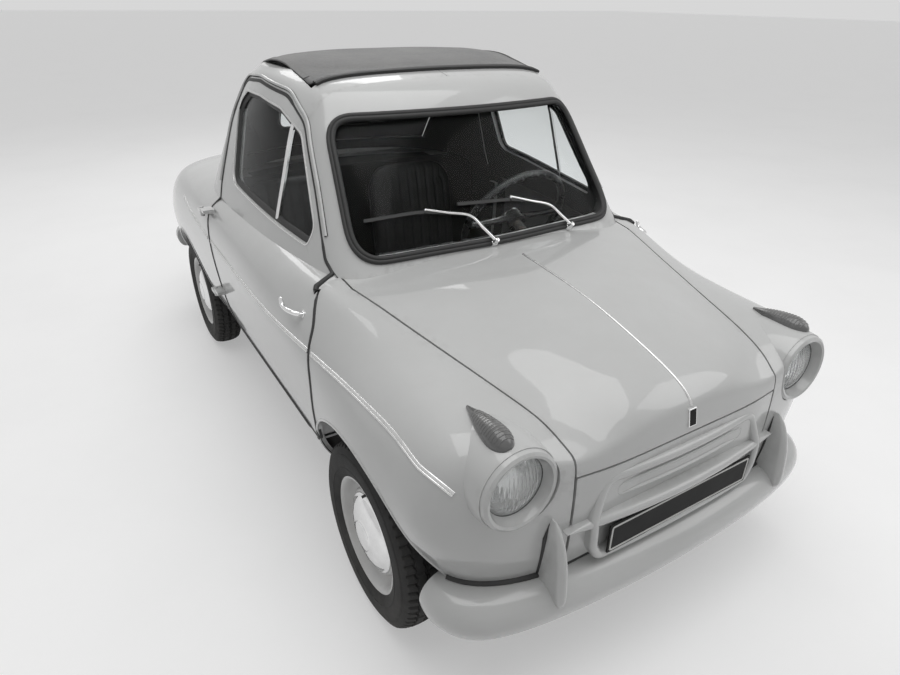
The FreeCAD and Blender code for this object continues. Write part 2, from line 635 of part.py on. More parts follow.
# Wipers
# spindle foot, elbow, end of the arm, then the blade from its far end to its near end
WIPERS = [((-38, -660, 796), (-89, -613, 878), (-215, -583, 905),
           (-384, -573, 896), (-300, -582, 898), (-213, -587, 897), (-106, -606, 880)),
          ((243, -650, 794), (193, -612, 868), (61, -593, 906),
           (-113, -590, 905), (-13, -597, 900), (61, -599, 895), (108, -601, 888))]
wipers = []
for foot, elbow, arm_end, *blade in WIPERS:
    head = V(*foot) + V(0, -15, 12)
    unit = [rod(foot, tuple(head), 9), rod(tuple(head), elbow, 5), Part.makeSphere(5.6, V(*elbow)), rod(elbow, arm_end, 3)]
    for a, b in zip(blade, blade[1:]):
        unit += [rod(a, b, 4), Part.makeSphere(4.5, V(*b))]
    unit = biggest(fused(unit).cut(outer).cut(NODES["screen_surround"]).cut(seal))
    wipers.append(unit)
keep("wipers", Part.makeCompound(wipers))

# Seats
SEAT_X = 262.0
SEAT_W = 390.0
cushion = box(-SEAT_X - SEAT_W / 2, -SEAT_X + SEAT_W / 2, -130, 300, 300.3, 420)
cushion = cushion.makeFillet(30, cushion.Edges)
back = side_prism([(300.3, 300.3), (392, 300.3), (428, 770), (360, 784)], [20, 20, 34, 30],
                  -SEAT_X - SEAT_W / 2, -SEAT_X + SEAT_W / 2)
half_seat = SEAT_W / 2
back = back.common(front_prism([(-SEAT_X - half_seat, 250), (-SEAT_X + half_seat, 250), (-SEAT_X + half_seat - 14, 790),
                                (-SEAT_X - half_seat + 14, 790)], [0, 0, 110, 110], 250, 500))
frame_seat = box(-SEAT_X - 160, -SEAT_X + 160, -90, 390, FLOOR_TOP, 300)
keep("seats", Part.makeCompound([cushion, back, mirrored(cushion), mirrored(back)]))
keep("seat_frames", Part.makeCompound([frame_seat, mirrored(frame_seat)]))

# Dashboard and steering column
dash = deep.common(box(-480, 480, FLOOR_Y0, -560, 660, 742)).cut(house)
col_dir = V(0, 0.894, 0.447)
wheel_mid = V(COLUMN_X, -350, 742)
col_end = wheel_mid - col_dir * 24.3
col_start = wheel_mid - col_dir * 350
column = rod(col_start, col_end, 16)
keep("dashboard", biggest(dash.cut(rod(col_start - col_dir * 50, col_end, 16.0))))
keep("steering_column", biggest(column.cut(box(-900, 900, -1200, FLOOR_Y0, 0, 1000))))

# Steering wheel
spin_rim = Part.makeTorus(WHEEL_RIM_R, WHEEL_TUBE, wheel_mid, col_dir)
spokes = []
for angle in (0, 180):
    d = V(math.cos(math.radians(angle)), 0, math.sin(math.radians(angle)))
    spokes.append(rod(wheel_mid, wheel_mid + d * WHEEL_RIM_R, 8))
hub = rod(wheel_mid - col_dir * 24, wheel_mid + col_dir * 14, 34)
keep("steering_wheel", biggest(fused([hub, spin_rim] + spokes)))

# Wheels: revolved about their own axis, then moved to the four corners


def turned(points):
    """Solid of revolution about X of a flat outline given as (x, radius)."""
    pts = [V(x, 0, r) for x, r in points]
    wire = Part.makePolygon(pts + [pts[0]])
    return outward(Part.Face(wire).revolve(V(0, 0, 0), V(1, 0, 0), 360))


HALF_W = TYRE_W / 2
tyre_edges = [
    Part.makeLine(V(40, 0, RIM_R), V(-40, 0, RIM_R)),
    Part.Arc(V(-40, 0, RIM_R), V(-HALF_W, 0, 192), V(-43, 0, 230)).toShape(),
    Part.Arc(V(-43, 0, 230), V(0, 0, TYRE_R), V(43, 0, 230)).toShape(),
    Part.Arc(V(43, 0, 230), V(HALF_W, 0, 192), V(40, 0, RIM_R)).toShape(),
]
tyre = outward(Part.Face(Part.Wire(tyre_edges)).revolve(V(0, 0, 0), V(1, 0, 0), 360))
SPINDLE_R = 13.0
BORE_R = SPINDLE_R + 0.3
half_rim = RIM_W / 2
rim_solid = turned([(-half_rim, 134), (half_rim, 134), (half_rim, 150), (41, 150), (41, RIM_R), (-41, RIM_R),
                    (-41, 150), (-half_rim, 150)])
disc = turned([(8, BORE_R), (8, 134.5), (14, 134.5), (30, 100), (34, 60), (34, BORE_R)])
drum = turned([(-40, 78), (8.5, 78), (8.5, 95), (-40, 95)])
hub_tube = turned([(-38, BORE_R), (-38, HUB_R), (20, HUB_R), (20, BORE_R)])
cap = turned([(28, 0.0), (28, CAP_R), (34, CAP_R), (44, 80), (52, 45), (56, 0.0)])
cap = cap.cut(rod((20, 0, 0), (34.5, 0, 0), 40))
wheel_solid = fused([rim_solid, disc, drum, hub_tube])
wheel_solid = biggest(wheel_solid.fuse(cap).cut(tyre))


def at_corner(shape, side, y):
    out = shape.copy()
    if side < 0:
        out = mirrored(out)
    out.translate(V(side * TRACK / 2, y, TYRE_R))
    return out


CORNERS = (("fl", 1, AXLE_FRONT_Y), ("fr", -1, AXLE_FRONT_Y), ("rl", 1, AXLE_REAR_Y), ("rr", -1, AXLE_REAR_Y))
for tag, side, y in CORNERS:
    keep("tyre_" + tag, at_corner(tyre, side, y))
    keep("rim_" + tag, at_corner(wheel_solid, side, y))

# Front knuckles, left one in its own place
PIN_R = 10.0
kx = KINGPIN_X
ky = AXLE_FRONT_Y
kz = TYRE_R
WHEEL_X = TRACK / 2
plate = rod((WHEEL_X - 52, ky, kz), (WHEEL_X - 46, ky, kz), 92)
spindle = rod((WHEEL_X - 50, ky, kz), (WHEEL_X + 24, ky, kz), SPINDLE_R)
barrel = rod((kx, ky, kz - 68), (kx, ky, kz + 68), 20)
lug = box(kx, WHEEL_X - 50, ky - 18, ky + 18, kz - 30, kz + 30)
lever = rod((kx, ky, kz), (kx - 25, ky + 80, kz), 8)
ball = Part.makeSphere(12, V(kx - 25, ky + 80, kz))
knuckle = fused([barrel, lug, plate, spindle, lever, ball])
knuckle = biggest(knuckle.cut(rod((kx, ky, kz - 90), (kx, ky, kz + 90), PIN_R + 0.3)))
keep("knuckle_l", knuckle)
keep("knuckle_r", mirrored(knuckle))

# Front suspension: arms, kingpin and spring of each side, steering rack
pin = rod((kx, ky, kz - 98), (kx, ky, kz + 98), PIN_R)
arms = []
for z0 in (kz - 98, kz + 74):
    arms.append(box(TUB_HALF, kx, ky - 18, ky + 18, z0, z0 + 24))
    arms.append(rod((kx, ky, z0), (kx, ky, z0 + 24), 18))
post = box(TUB_HALF, TUB_HALF + 20, ky - 40, ky + 40, kz - 98, kz + 98)
spring = rod((390, ky, kz + 97), (390, ky, 560), 26)
seat_top = box(TUB_HALF, 418, ky - 30, ky + 30, 558, 572)
unit = biggest(fused([pin, post, spring, seat_top] + arms))
rack = rod((-330, ky + 80, 246), (330, ky + 80, 246), 13)
clamps = [box(x - 14, x + 14, ky + 64, ky + 96, 246, TUB_Z) for x in (-220, 220)]
keep("front_suspension", Part.makeCompound([unit, mirrored(unit), biggest(fused([rack] + clamps))]))

# Rear suspension: trailing arm, stub axle, spring and half shaft of each side
ry = AXLE_REAR_Y
arm = fused([box(268, 330, 500, 560, 262, 300), rod((310, 530, 270), (455, ry, kz), 20),
             rod((WHEEL_X - 52, ry, kz), (WHEEL_X - 46, ry, kz), 92), rod((430, ry, kz), (WHEEL_X + 24, ry, kz), SPINDLE_R),
             rod((455, ry, kz - 34), (455, ry, kz + 34), 30), box(440, WHEEL_X - 50, ry - 20, ry + 20, kz - 28, kz + 28),
             rod((110, ry, kz), (440, ry, kz), 11), rod((462, ry, kz + 30), (462, ry, TYRE_R + ARCH_REAR_R), 20)])
arm = biggest(arm.cut(mirrored(liner)))
keep("rear_suspension", Part.makeCompound([arm, mirrored(arm)]))

# Door hinges: leaf and half barrel on the door, the other half on the quarter
door_leaf = []
body_leaf = []
for hz in HINGE_Z:
    barrel_low = rod((-HINGE_X, HINGE_Y, hz - 16), (-HINGE_X, HINGE_Y, hz - 0.3), HINGE_R)
    barrel_top = rod((-HINGE_X, HINGE_Y, hz + 0.3), (-HINGE_X, HINGE_Y, hz + 16), HINGE_R)
    leaf_top = box(-HINGE_X - 6, -HINGE_X + 30, HINGE_Y - 50, HINGE_Y - 6, hz + 2, hz + 14)
    leaf_low = box(-HINGE_X - 6, -HINGE_X + 30, HINGE_Y + 6, HINGE_Y + 50, hz - 14, hz - 2)
    top = fused([barrel_top, leaf_top.fuse(box(-HINGE_X - 6, -HINGE_X + 6, HINGE_Y - 8, HINGE_Y, hz + 2, hz + 14))])
    low = fused([barrel_low, leaf_low.fuse(box(-HINGE_X - 6, -HINGE_X + 6, HINGE_Y, HINGE_Y + 8, hz - 14, hz - 2))])
    door_leaf.append(biggest(top.cut(outer)))
    body_leaf.append(biggest(low.cut(outer)))
keep("door_hinges_r", Part.makeCompound(door_leaf))
keep("door_hinges_l", mirrored(Part.makeCompound(door_leaf)))

# Engine lid hinges: half on the deck, half on the lid
LID_AXIS_Z = 843.0
LID_AXIS_Y = 643.0
lid_leaf = []
deck_leaf = []
for hx in (-150.0, 150.0):
    body_half = rod((hx - 24, LID_AXIS_Y, LID_AXIS_Z), (hx - REST, LID_AXIS_Y, LID_AXIS_Z), 6)
    lid_half = rod((hx + REST, LID_AXIS_Y, LID_AXIS_Z), (hx + 24, LID_AXIS_Y, LID_AXIS_Z), 6)
    body_leaf_part = box(hx - 24, hx - 2, LID_AXIS_Y - 32, LID_AXIS_Y, 815, LID_AXIS_Z)
    lid_leaf_part = box(hx + 2, hx + 24, LID_AXIS_Y, LID_AXIS_Y + 34, 815, LID_AXIS_Z)
    deck_leaf.append(biggest(body_half.fuse(body_leaf_part).cut(outer)))
    lid_leaf.append(biggest(lid_half.fuse(lid_leaf_part).cut(outer)))
keep("lid_hinges", Part.makeCompound(lid_leaf))
keep("body_hinges", Part.makeCompound(body_leaf + [mirrored(q) for q in body_leaf] + deck_leaf))

# Door handles
HANDLE = [(-588, -630, 704), (-612, -622, 714), (-622, -600, 716), (-628, -580, 724), (-624, -575, 738)]
HANDLE_R = 6.0
handle = [rod((-570, -625, 693), (-597, -629, 710), 14)]
for a, b in zip(HANDLE, HANDLE[1:]):
    handle.append(rod(a, b, HANDLE_R))
    handle.append(Part.makeSphere(HANDLE_R, V(*b)))
handle = biggest(fused(handle).cut(outer))
keep("door_handle_r", handle)
keep("door_handle_l", mirrored(handle))

os.makedirs("parts", exist_ok=True)
for name, shape in NODES.items():
    shape.exportStep("parts/%s.step" % name)
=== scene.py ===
"""Two-seat family microcar with a roll-back fabric roof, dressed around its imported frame.

The car faces -Y, +X is its left side, +Z is up, the floor is z = 0 and lengths are in metres.
"""
import json
import math

import bmesh
import bpy
from bpy.props import FloatProperty, FloatVectorProperty, IntProperty, PointerProperty
from mathutils import Matrix, Vector
from mathutils.bvhtree import BVHTree


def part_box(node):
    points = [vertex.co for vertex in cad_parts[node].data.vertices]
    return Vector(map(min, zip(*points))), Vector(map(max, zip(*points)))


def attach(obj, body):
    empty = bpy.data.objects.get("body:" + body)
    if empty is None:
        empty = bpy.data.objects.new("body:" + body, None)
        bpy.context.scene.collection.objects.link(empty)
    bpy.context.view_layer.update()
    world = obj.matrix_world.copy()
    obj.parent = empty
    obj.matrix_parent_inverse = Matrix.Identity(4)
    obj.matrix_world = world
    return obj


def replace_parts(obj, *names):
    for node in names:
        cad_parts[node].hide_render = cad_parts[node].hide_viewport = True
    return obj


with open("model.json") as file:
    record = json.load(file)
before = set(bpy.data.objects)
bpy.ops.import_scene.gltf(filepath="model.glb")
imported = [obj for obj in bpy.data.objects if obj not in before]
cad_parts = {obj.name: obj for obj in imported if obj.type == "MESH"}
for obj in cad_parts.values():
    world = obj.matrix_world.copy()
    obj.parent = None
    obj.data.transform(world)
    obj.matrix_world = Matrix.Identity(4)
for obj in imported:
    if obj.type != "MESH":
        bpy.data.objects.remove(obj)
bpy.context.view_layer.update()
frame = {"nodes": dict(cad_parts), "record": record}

bl_info = {
    "name": "Two-seat Microcar",
    "version": (1, 0, 0),
    "blender": (4, 5, 0),
    "location": "3D View > Sidebar > Microcar",
    "description": "Paints a two-seat microcar and adds its trim, lamps, tyres, soft roof and seats",
    "category": "Object",
}

NODES = frame["nodes"]
SIDES = ((-1, "right"), (1, "left"))

# The photograph's camera: its place, its turn, tilt and roll in degrees, and its focal length in millimetres
CAMERA_PLACE = (-1.0330, -2.0314, 1.4136)
CAMERA_YAW, CAMERA_PITCH, CAMERA_ROLL = 31.967, 28.289, 0.842
CAMERA_SENSOR, CAMERA_LENS = 36.0, 25.4508

# Area lights: place, aim, width, depth and power; then the glow of the floor, the sky's light and the backdrop's grey
LIGHTS = (("key_light", (-0.3, -1.0, 4.6), (0, -0.4, 0.5), 4.4, 3.4, 88.0),
          ("fill_light", (3.2, -2.8, 3.4), (0, -0.2, 0.5), 2.6, 2.6, 28.0),
          ("rear_light", (0.6, 3.6, 3.8), (0, 0.3, 0.5), 3.0, 2.0, 48.0))
FLOOR_GLOW, SKY_LIGHT, BACKDROP_GREY = 0.36, 0.34, 0.68

# Where the wheels, the seats, the bumper guards and the steering wheel stand, as in the frame
FRONT_AXLE, REAR_AXLE = -0.95, 0.743
HUB_X, HUB_Z = 0.55, 0.24
WHEELS = (("fl", 1, FRONT_AXLE, "front_left_wheel"), ("fr", -1, FRONT_AXLE, "front_right_wheel"),
          ("rl", 1, REAR_AXLE, "rear_left_wheel"), ("rr", -1, REAR_AXLE, "rear_right_wheel"))
SEAT_X = 0.262
GUARD_X = 0.360
STEERING_HUB = Vector((0.265, -0.350, 0.742))
STEERING_AXIS = Vector((0, 0.8944, 0.4472))


# Sizes and colours that a user would change

def swatch(name, value, text):
    colour = (value,) * 3 if isinstance(value, float) else value
    return FloatVectorProperty(name=name, description=text, subtype="COLOR", size=3, min=0.0, max=1.0, default=colour)


class CarColours(bpy.types.PropertyGroup):
    paint: swatch("Body paint", (0.56, 0.565, 0.56), "Colour of the painted body panels")
    under: swatch("Underbody", 0.07, "Colour of the coated underside")
    roof: swatch("Roof fabric", 0.155, "Colour of the fabric roof")
    leather: swatch("Seats", 0.055, "Colour of the seat covers")
    rubber: swatch("Rubber", 0.022, "Colour of tyres and seals")
    dash: swatch("Dashboard", 0.20, "Colour of the dashboard")
    signal: swatch("Signal lenses", 0.12, "Colour of the turn signal lenses")
    tail: swatch("Tail lenses", (0.30, 0.03, 0.02), "Colour of the tail lamp lenses")
    # Painted shade: a dark colour laid on the faces that look into the cabin and on the roof's underside. It stands for
    # the cabin's shade, not for a cloth.
    cabin_painted_shade: swatch("Cabin lining", 0.035, "Colour of the cloth that lines the cabin")
    plate: swatch("Plate", 0.02, "Colour of the blank number plates")
    floor: swatch("Studio floor", 0.62, "Colour of the studio floor")


class CarSizes(bpy.types.PropertyGroup):
    bead_r: FloatProperty(name="Bead radius", description="Half width of the side bead", default=0.0045,
                          min=0.002, max=0.01, unit="LENGTH")
    seal_r: FloatProperty(name="Screen seal radius", description="Half width of the windscreen seal", default=0.011,
                          min=0.005, max=0.02, unit="LENGTH")
    tread_depth: FloatProperty(name="Tread depth", description="Depth of the tyre grooves", default=0.006,
                               min=0.002, max=0.01, unit="LENGTH")
    tread_blocks: IntProperty(name="Tread blocks", description="Blocks around each tyre", default=64, min=24, max=96)
    pleats: IntProperty(name="Pleats", description="Sewn channels across each seat", default=9, min=3, max=15)


# Material building

def new_group(name, inputs, outputs):
    """A shader node group with float sockets; returns its tree, the values that come in and the sockets out."""
    tree = bpy.data.node_groups.new(name, "ShaderNodeTree")
    for label, value in inputs.items():
        tree.interface.new_socket(name=label, in_out="INPUT", socket_type="NodeSocketFloat").default_value = value
    for label in outputs:
        tree.interface.new_socket(name=label, in_out="OUTPUT", socket_type="NodeSocketFloat")
    return tree, tree.nodes.new("NodeGroupInput").outputs, tree.nodes.new("NodeGroupOutput").inputs


def shared(name):
    """Decorator: the group is built once and found by its name after that."""
    def wrap(build):
        return lambda: bpy.data.node_groups.get(name) or build(name)
    return wrap


def feed(tree, socket, value):
    """Link a socket to an output, or set it to a number or a colour."""
    if isinstance(value, bpy.types.NodeSocket):
        tree.links.new(value, socket)
    else:
        socket.default_value = value if isinstance(value, (int, float)) else (*tuple(value)[:3], 1.0)


def math_node(tree, operation, a, b=None, clamp=False):
    node = tree.nodes.new("ShaderNodeMath")
    node.operation = operation
    node.use_clamp = clamp
    feed(tree, node.inputs[0], a)
    if b is not None:
        feed(tree, node.inputs[1], b)
    return node.outputs[0]


def chain(tree, operation, first, *others):
    """One operation through a row of values, such as the product of several masks."""
    for other in others:
        first = math_node(tree, operation, first, other)
    return first


def split(tree, vector):
    node = tree.nodes.new("ShaderNodeSeparateXYZ")
    tree.links.new(vector, node.inputs[0])
    return node.outputs


def mix_colour(tree, factor, a, b):
    node = tree.nodes.new("ShaderNodeMix")
    node.data_type = "RGBA"
    for key, value in (("Factor", factor), (6, a), (7, b)):
        feed(tree, node.inputs[key], value)
    return node.outputs[2]


def noise(tree, vector, scale, detail=4.0, rough=0.55):
    node = tree.nodes.new("ShaderNodeTexNoise")
    for key, value in (("Vector", vector), ("Scale", scale), ("Detail", detail), ("Roughness", rough)):
        feed(tree, node.inputs[key], value)
    return node.outputs["Fac"]


def ramp(tree, value, low, high, out_low=0.0, out_high=1.0):
    node = tree.nodes.new("ShaderNodeMapRange")
    node.inputs["From Min"].default_value = low
    node.inputs["From Max"].default_value = high
    node.inputs["To Min"].default_value = out_low
    node.inputs["To Max"].default_value = out_high
    tree.links.new(value, node.inputs["Value"])
    return node.outputs["Result"]


def soft_rays(tree):
    """Mask of the rays from the camera, through glass and off mirrors, which see the backdrop."""
    rays = tree.nodes.new("ShaderNodeLightPath").outputs
    return chain(tree, "MAXIMUM", rays["Is Camera Ray"], rays["Is Transmission Ray"], rays["Is Glossy Ray"])


@shared("Dust")
def dust_group(name):
    """Mask of dust that settles on upward faces and gathers low on the car."""
    tree, start, end = new_group(name, {"Scale": 6.0, "Amount": 0.3}, ("Mask",))
    coord = tree.nodes.new("ShaderNodeTexCoord").outputs
    facing = split(tree, tree.nodes.new("ShaderNodeNewGeometry").outputs["Normal"])
    up = ramp(tree, facing["Z"], 0.2, 1.0)
    low = ramp(tree, split(tree, coord["Object"])["Z"], 0.45, 0.15)
    cloud = ramp(tree, noise(tree, coord["Object"], start["Scale"], 6.0, 0.65), 0.35, 0.75)
    mask = math_node(tree, "MULTIPLY", math_node(tree, "MAXIMUM", up, low), cloud)
    tree.links.new(math_node(tree, "MULTIPLY", mask, start["Amount"], clamp=True), end["Mask"])
    return tree


@shared("Grain")
def grain_group(name):
    """Fine grain and broad mottling: a height, and a value for colour variation."""
    tree, start, end = new_group(name, {"Fine": 900.0, "Broad": 9.0}, ("Height", "Mottle"))
    coord = tree.nodes.new("ShaderNodeTexCoord").outputs
    tree.links.new(noise(tree, coord["Object"], start["Fine"], 3.0, 0.5), end["Height"])
    tree.links.new(noise(tree, coord["Object"], start["Broad"], 5.0, 0.6), end["Mottle"])
    return tree


@shared("Edge wear")
def wear_group(name):
    """Mask of worn or soiled edges, from the shape's convexity broken up by noise."""
    tree, start, end = new_group(name, {"Scale": 40.0, "Amount": 0.5}, ("Mask",))
    coord = tree.nodes.new("ShaderNodeTexCoord").outputs
    edge = ramp(tree, tree.nodes.new("ShaderNodeNewGeometry").outputs["Pointiness"], 0.53, 0.60)
    cloud = ramp(tree, noise(tree, coord["Object"], start["Scale"], 4.0, 0.6), 0.45, 0.62)
    mask = math_node(tree, "MULTIPLY", edge, cloud)
    tree.links.new(math_node(tree, "MULTIPLY", mask, start["Amount"], clamp=True), end["Mask"])
    return tree


@shared("Lining")
def cabin_shade_group(name):
    """Mask of the faces that look into the cabin, and of the rear shelf, where the script paints shade: a dark colour
    stands for the cabin's shade, not for a cloth.
    """
    tree, start, end = new_group(name, {"Front": -0.68, "Rear": 0.70, "Shelf": 1.0}, ("Mask",))
    coord = tree.nodes.new("ShaderNodeTexCoord").outputs
    place, facing = split(tree, coord["Object"]), split(tree, coord["Normal"])

    def test(value, sign, limit):
        return math_node(tree, "GREATER_THAN" if sign == ">" else "LESS_THAN", value, limit)

    inward = test(math_node(tree, "MULTIPLY", place["X"], facing["X"]), "<", -0.10)
    ceiling = math_node(tree, "MULTIPLY", test(place["Z"], ">", 0.80), test(facing["Z"], "<", -0.25))
    behind = test(place["Y"], ">", 0.28)
    back = math_node(tree, "MULTIPLY", behind, test(facing["Y"], "<", -0.45))
    spread = chain(tree, "MULTIPLY", place["X"], place["X"], 0.55)
    before_deck = test(math_node(tree, "ADD", place["Y"], spread), "<", 0.5875)
    narrow = test(math_node(tree, "ABSOLUTE", place["X"]), "<", 0.3935)
    shelf = chain(tree, "MULTIPLY", behind, before_deck, test(place["Z"], "<", 0.91), narrow, start["Shelf"])
    mask = chain(tree, "MAXIMUM", inward, ceiling, back, shelf)
    mask = chain(tree, "MULTIPLY", mask, test(place["Y"], ">", start["Front"]), test(place["Y"], "<", start["Rear"]))
    tree.links.new(mask, end["Mask"])
    return tree


@shared("Weave")
def weave_group(name):
    """Plain weave in the plane that the cloth lies in: thread height and a shade per thread."""
    tree, start, end = new_group(name, {"Threads": 700.0}, ("Height", "Shade"))
    coord = tree.nodes.new("ShaderNodeTexCoord").outputs
    place = split(tree, coord["Object"])
    run = math_node(tree, "ADD", place["Y"], place["Z"])
    across, along = (math_node(tree, "SINE", math_node(tree, "MULTIPLY", value, start["Threads"]))
                     for value in (place["X"], run))
    tree.links.new(ramp(tree, math_node(tree, "MULTIPLY", across, along), -1.0, 1.0), end["Height"])
    tree.links.new(noise(tree, coord["Object"], 160.0, 2.0, 0.5), end["Shade"])
    return tree


class Finish:
    """One material: a Principled shader with helpers that wire in the shared effects."""

    def __init__(self, name, colour, rough, metallic=0.0, coat=0.0, specular=None, coat_rough=0.05):
        self.mat = bpy.data.materials.new(name)
        self.mat.use_nodes = True
        self.tree = self.mat.node_tree
        self.shader = self.tree.nodes["Principled BSDF"]
        self.colour = self.base = (*tuple(colour)[:3], 1.0)
        self.mat.diffuse_color = self.colour
        self.rough = self.rough_now = rough
        self.put("Metallic", metallic)
        if coat:
            self.put("Coat Weight", coat)
            self.put("Coat Roughness", coat_rough)
        if specular is not None:
            self.put("Specular IOR Level", specular)

    def put(self, socket, value):
        self.shader.inputs[socket].default_value = value

    def group(self, tree, **values):
        node = self.tree.nodes.new("ShaderNodeGroup")
        node.node_tree = tree
        for key, value in values.items():
            node.inputs[key].default_value = value
        return node.outputs

    def shade(self, mask, colour, amount=1.0):
        factor = mask if amount == 1.0 else math_node(self.tree, "MULTIPLY", mask, amount)
        self.base = mix_colour(self.tree, factor, self.base, colour)

    def roughen(self, low, high):
        """Let the roughness follow the mottling."""
        self.rough_now = ramp(self.tree, self.broad, 0.0, 1.0, low, high)

    def mottle(self, broad, spread, fine=900.0, bump=0.0, distance=0.001):
        grain = self.group(grain_group(), Fine=fine, Broad=broad)
        self.broad = grain["Mottle"]
        dark = tuple(c * (1.0 - spread) for c in self.colour[:3])
        light = tuple(min(1.0, c * (1.0 + spread)) for c in self.colour[:3])
        self.base = mix_colour(self.tree, ramp(self.tree, self.broad, 0.3, 0.7), dark, light)
        if bump:
            self.bump(grain["Height"], bump, distance)

    def dust(self, amount, colour, scale):
        mask = self.group(dust_group(), Scale=scale, Amount=amount)["Mask"]
        self.shade(mask, colour)
        self.rough_now = ramp(self.tree, mask, 0.0, 0.6, self.rough, min(1.0, self.rough + 0.4))

    def film(self, amount, scale, low, high):
        """Dust that only dulls the gloss, for glass."""
        mask = self.group(dust_group(), Scale=scale, Amount=amount)["Mask"]
        self.rough_now = ramp(self.tree, mask, 0.0, 1.0, low, high)

    def wear(self, amount, colour):
        self.shade(self.group(wear_group(), Scale=40.0, Amount=amount)["Mask"], colour)

    def bump(self, height, strength, distance):
        node = self.tree.nodes.new("ShaderNodeBump")
        node.inputs["Strength"].default_value = strength
        node.inputs["Distance"].default_value = distance
        self.tree.links.new(height, node.inputs["Height"])
        self.tree.links.new(node.outputs["Normal"], self.shader.inputs["Normal"])

    def done(self):
        feed(self.tree, self.shader.inputs["Base Color"], self.base)
        feed(self.tree, self.shader.inputs["Roughness"], self.rough_now)
        return self.mat


LAMP_EFFECTS = (("mottle", 18.0, 0.18, 520.0, 0.05, 0.0006), ("dust", 0.25, (0.36, 0.35, 0.33), 12.0))

# Material slot, name, colour (a value or the name of a swatch), roughness, further values and effects in their order
PLAIN_FINISHES = (
    ("under_paint", "underbody_coat", "under", 0.75, {},
     (("mottle", 14.0, 0.35, 420.0, 0.5, 0.0012), ("dust", 0.55, (0.20, 0.18, 0.16), 9.0))),
    ("bright_trim", "bright_trim_chrome", (0.78, 0.78, 0.78), 0.12, {"metallic": 1.0},
     (("mottle", 30.0, 0.06, 1400.0, 0.006, 0.0003), ("roughen", 0.05, 0.16))),
    ("trim_alloy", "trim_dull_aluminium", (0.68, 0.68, 0.675), 0.26, {"metallic": 1.0},
     (("mottle", 40.0, 0.08, 1100.0, 0.008, 0.0003), ("roughen", 0.18, 0.32))),
    ("lamp_mirror", "lamp_reflector", (0.86, 0.86, 0.86), 0.1, {"metallic": 1.0},
     (("mottle", 22.0, 0.04), ("roughen", 0.06, 0.2))),
    ("lamp_plastic", "lamp_plastic_moulded", "signal", 0.16, {"coat": 0.6}, LAMP_EFFECTS),
    ("tail_plastic", "tail_plastic_moulded", "tail", 0.16, {"coat": 0.6}, LAMP_EFFECTS),
    ("plate_black", "plate_enamel", "plate", 0.55, {"specular": 0.12},
     (("mottle", 12.0, 0.3, 700.0, 0.04, 0.0005), ("dust", 0.10, (0.22, 0.21, 0.2), 10.0))),
    ("plate_pale", "plate_border_enamel", (0.62, 0.62, 0.60), 0.35, {}, (("mottle", 25.0, 0.08, 800.0, 0.03, 0.0004),)),
    ("seat_fabric", "seat_leathercloth", "leather", 0.46, {},
     (("mottle", 16.0, 0.25, 1300.0, 0.35, 0.0006), ("roughen", 0.32, 0.6))),
    ("dark_steel", "chassis_black_steel", (0.055, 0.055, 0.055), 0.5, {},
     (("mottle", 20.0, 0.4, 500.0, 0.2, 0.0006), ("wear", 0.6, (0.16, 0.12, 0.09)),
      ("dust", 0.4, (0.17, 0.155, 0.14), 10.0))),
    ("dash_paint", "dashboard_enamel", "dash", 0.38, {"coat": 0.4},
     (("mottle", 5.0, 0.06, 300.0, 0.06, 0.0004), ("dust", 0.3, (0.3, 0.29, 0.28), 8.0))),
    ("wheel_plastic", "steering_wheel_plastic", (0.03, 0.03, 0.03), 0.25, {"coat": 0.3},
     (("mottle", 20.0, 0.3, 900.0, 0.05, 0.0004), ("roughen", 0.16, 0.42))),
    ("tyre_rubber", "tyre_tread_rubber", "rubber", 0.82, {},
     (("mottle", 24.0, 0.35, 800.0, 0.35, 0.0007), ("dust", 0.5, (0.13, 0.125, 0.118), 13.0))),
    ("rim_paint", "rim_enamel", (0.58, 0.58, 0.575), 0.3, {"metallic": 0.15, "coat": 0.5},
     (("mottle", 12.0, 0.06, 500.0, 0.05, 0.0004), ("dust", 0.35, (0.30, 0.28, 0.26), 9.0),
      ("wear", 0.4, (0.3, 0.29, 0.28)))),
    ("engine_metal", "engine_cast_alloy", (0.30, 0.30, 0.30), 0.6, {"metallic": 0.7},
     (("mottle", 18.0, 0.25, 420.0, 0.5, 0.0012), ("dust", 0.4, (0.12, 0.11, 0.1), 10.0))),
    ("seal_rubber", "seal_black_rubber", "rubber", 0.5, {},
     (("mottle", 26.0, 0.3, 900.0, 0.15, 0.0005), ("roughen", 0.38, 0.66))),
    ("door_card", "door_card_leathercloth", (0.13, 0.13, 0.13), 0.55, {},
     (("mottle", 10.0, 0.2, 1100.0, 0.3, 0.0006), ("roughen", 0.45, 0.7))),
    ("dial", "dial_enamel", (0.6, 0.59, 0.55), 0.4, {}, (("mottle", 40.0, 0.1, 600.0, 0.02, 0.0003),)),
)
MATERIALS = {}


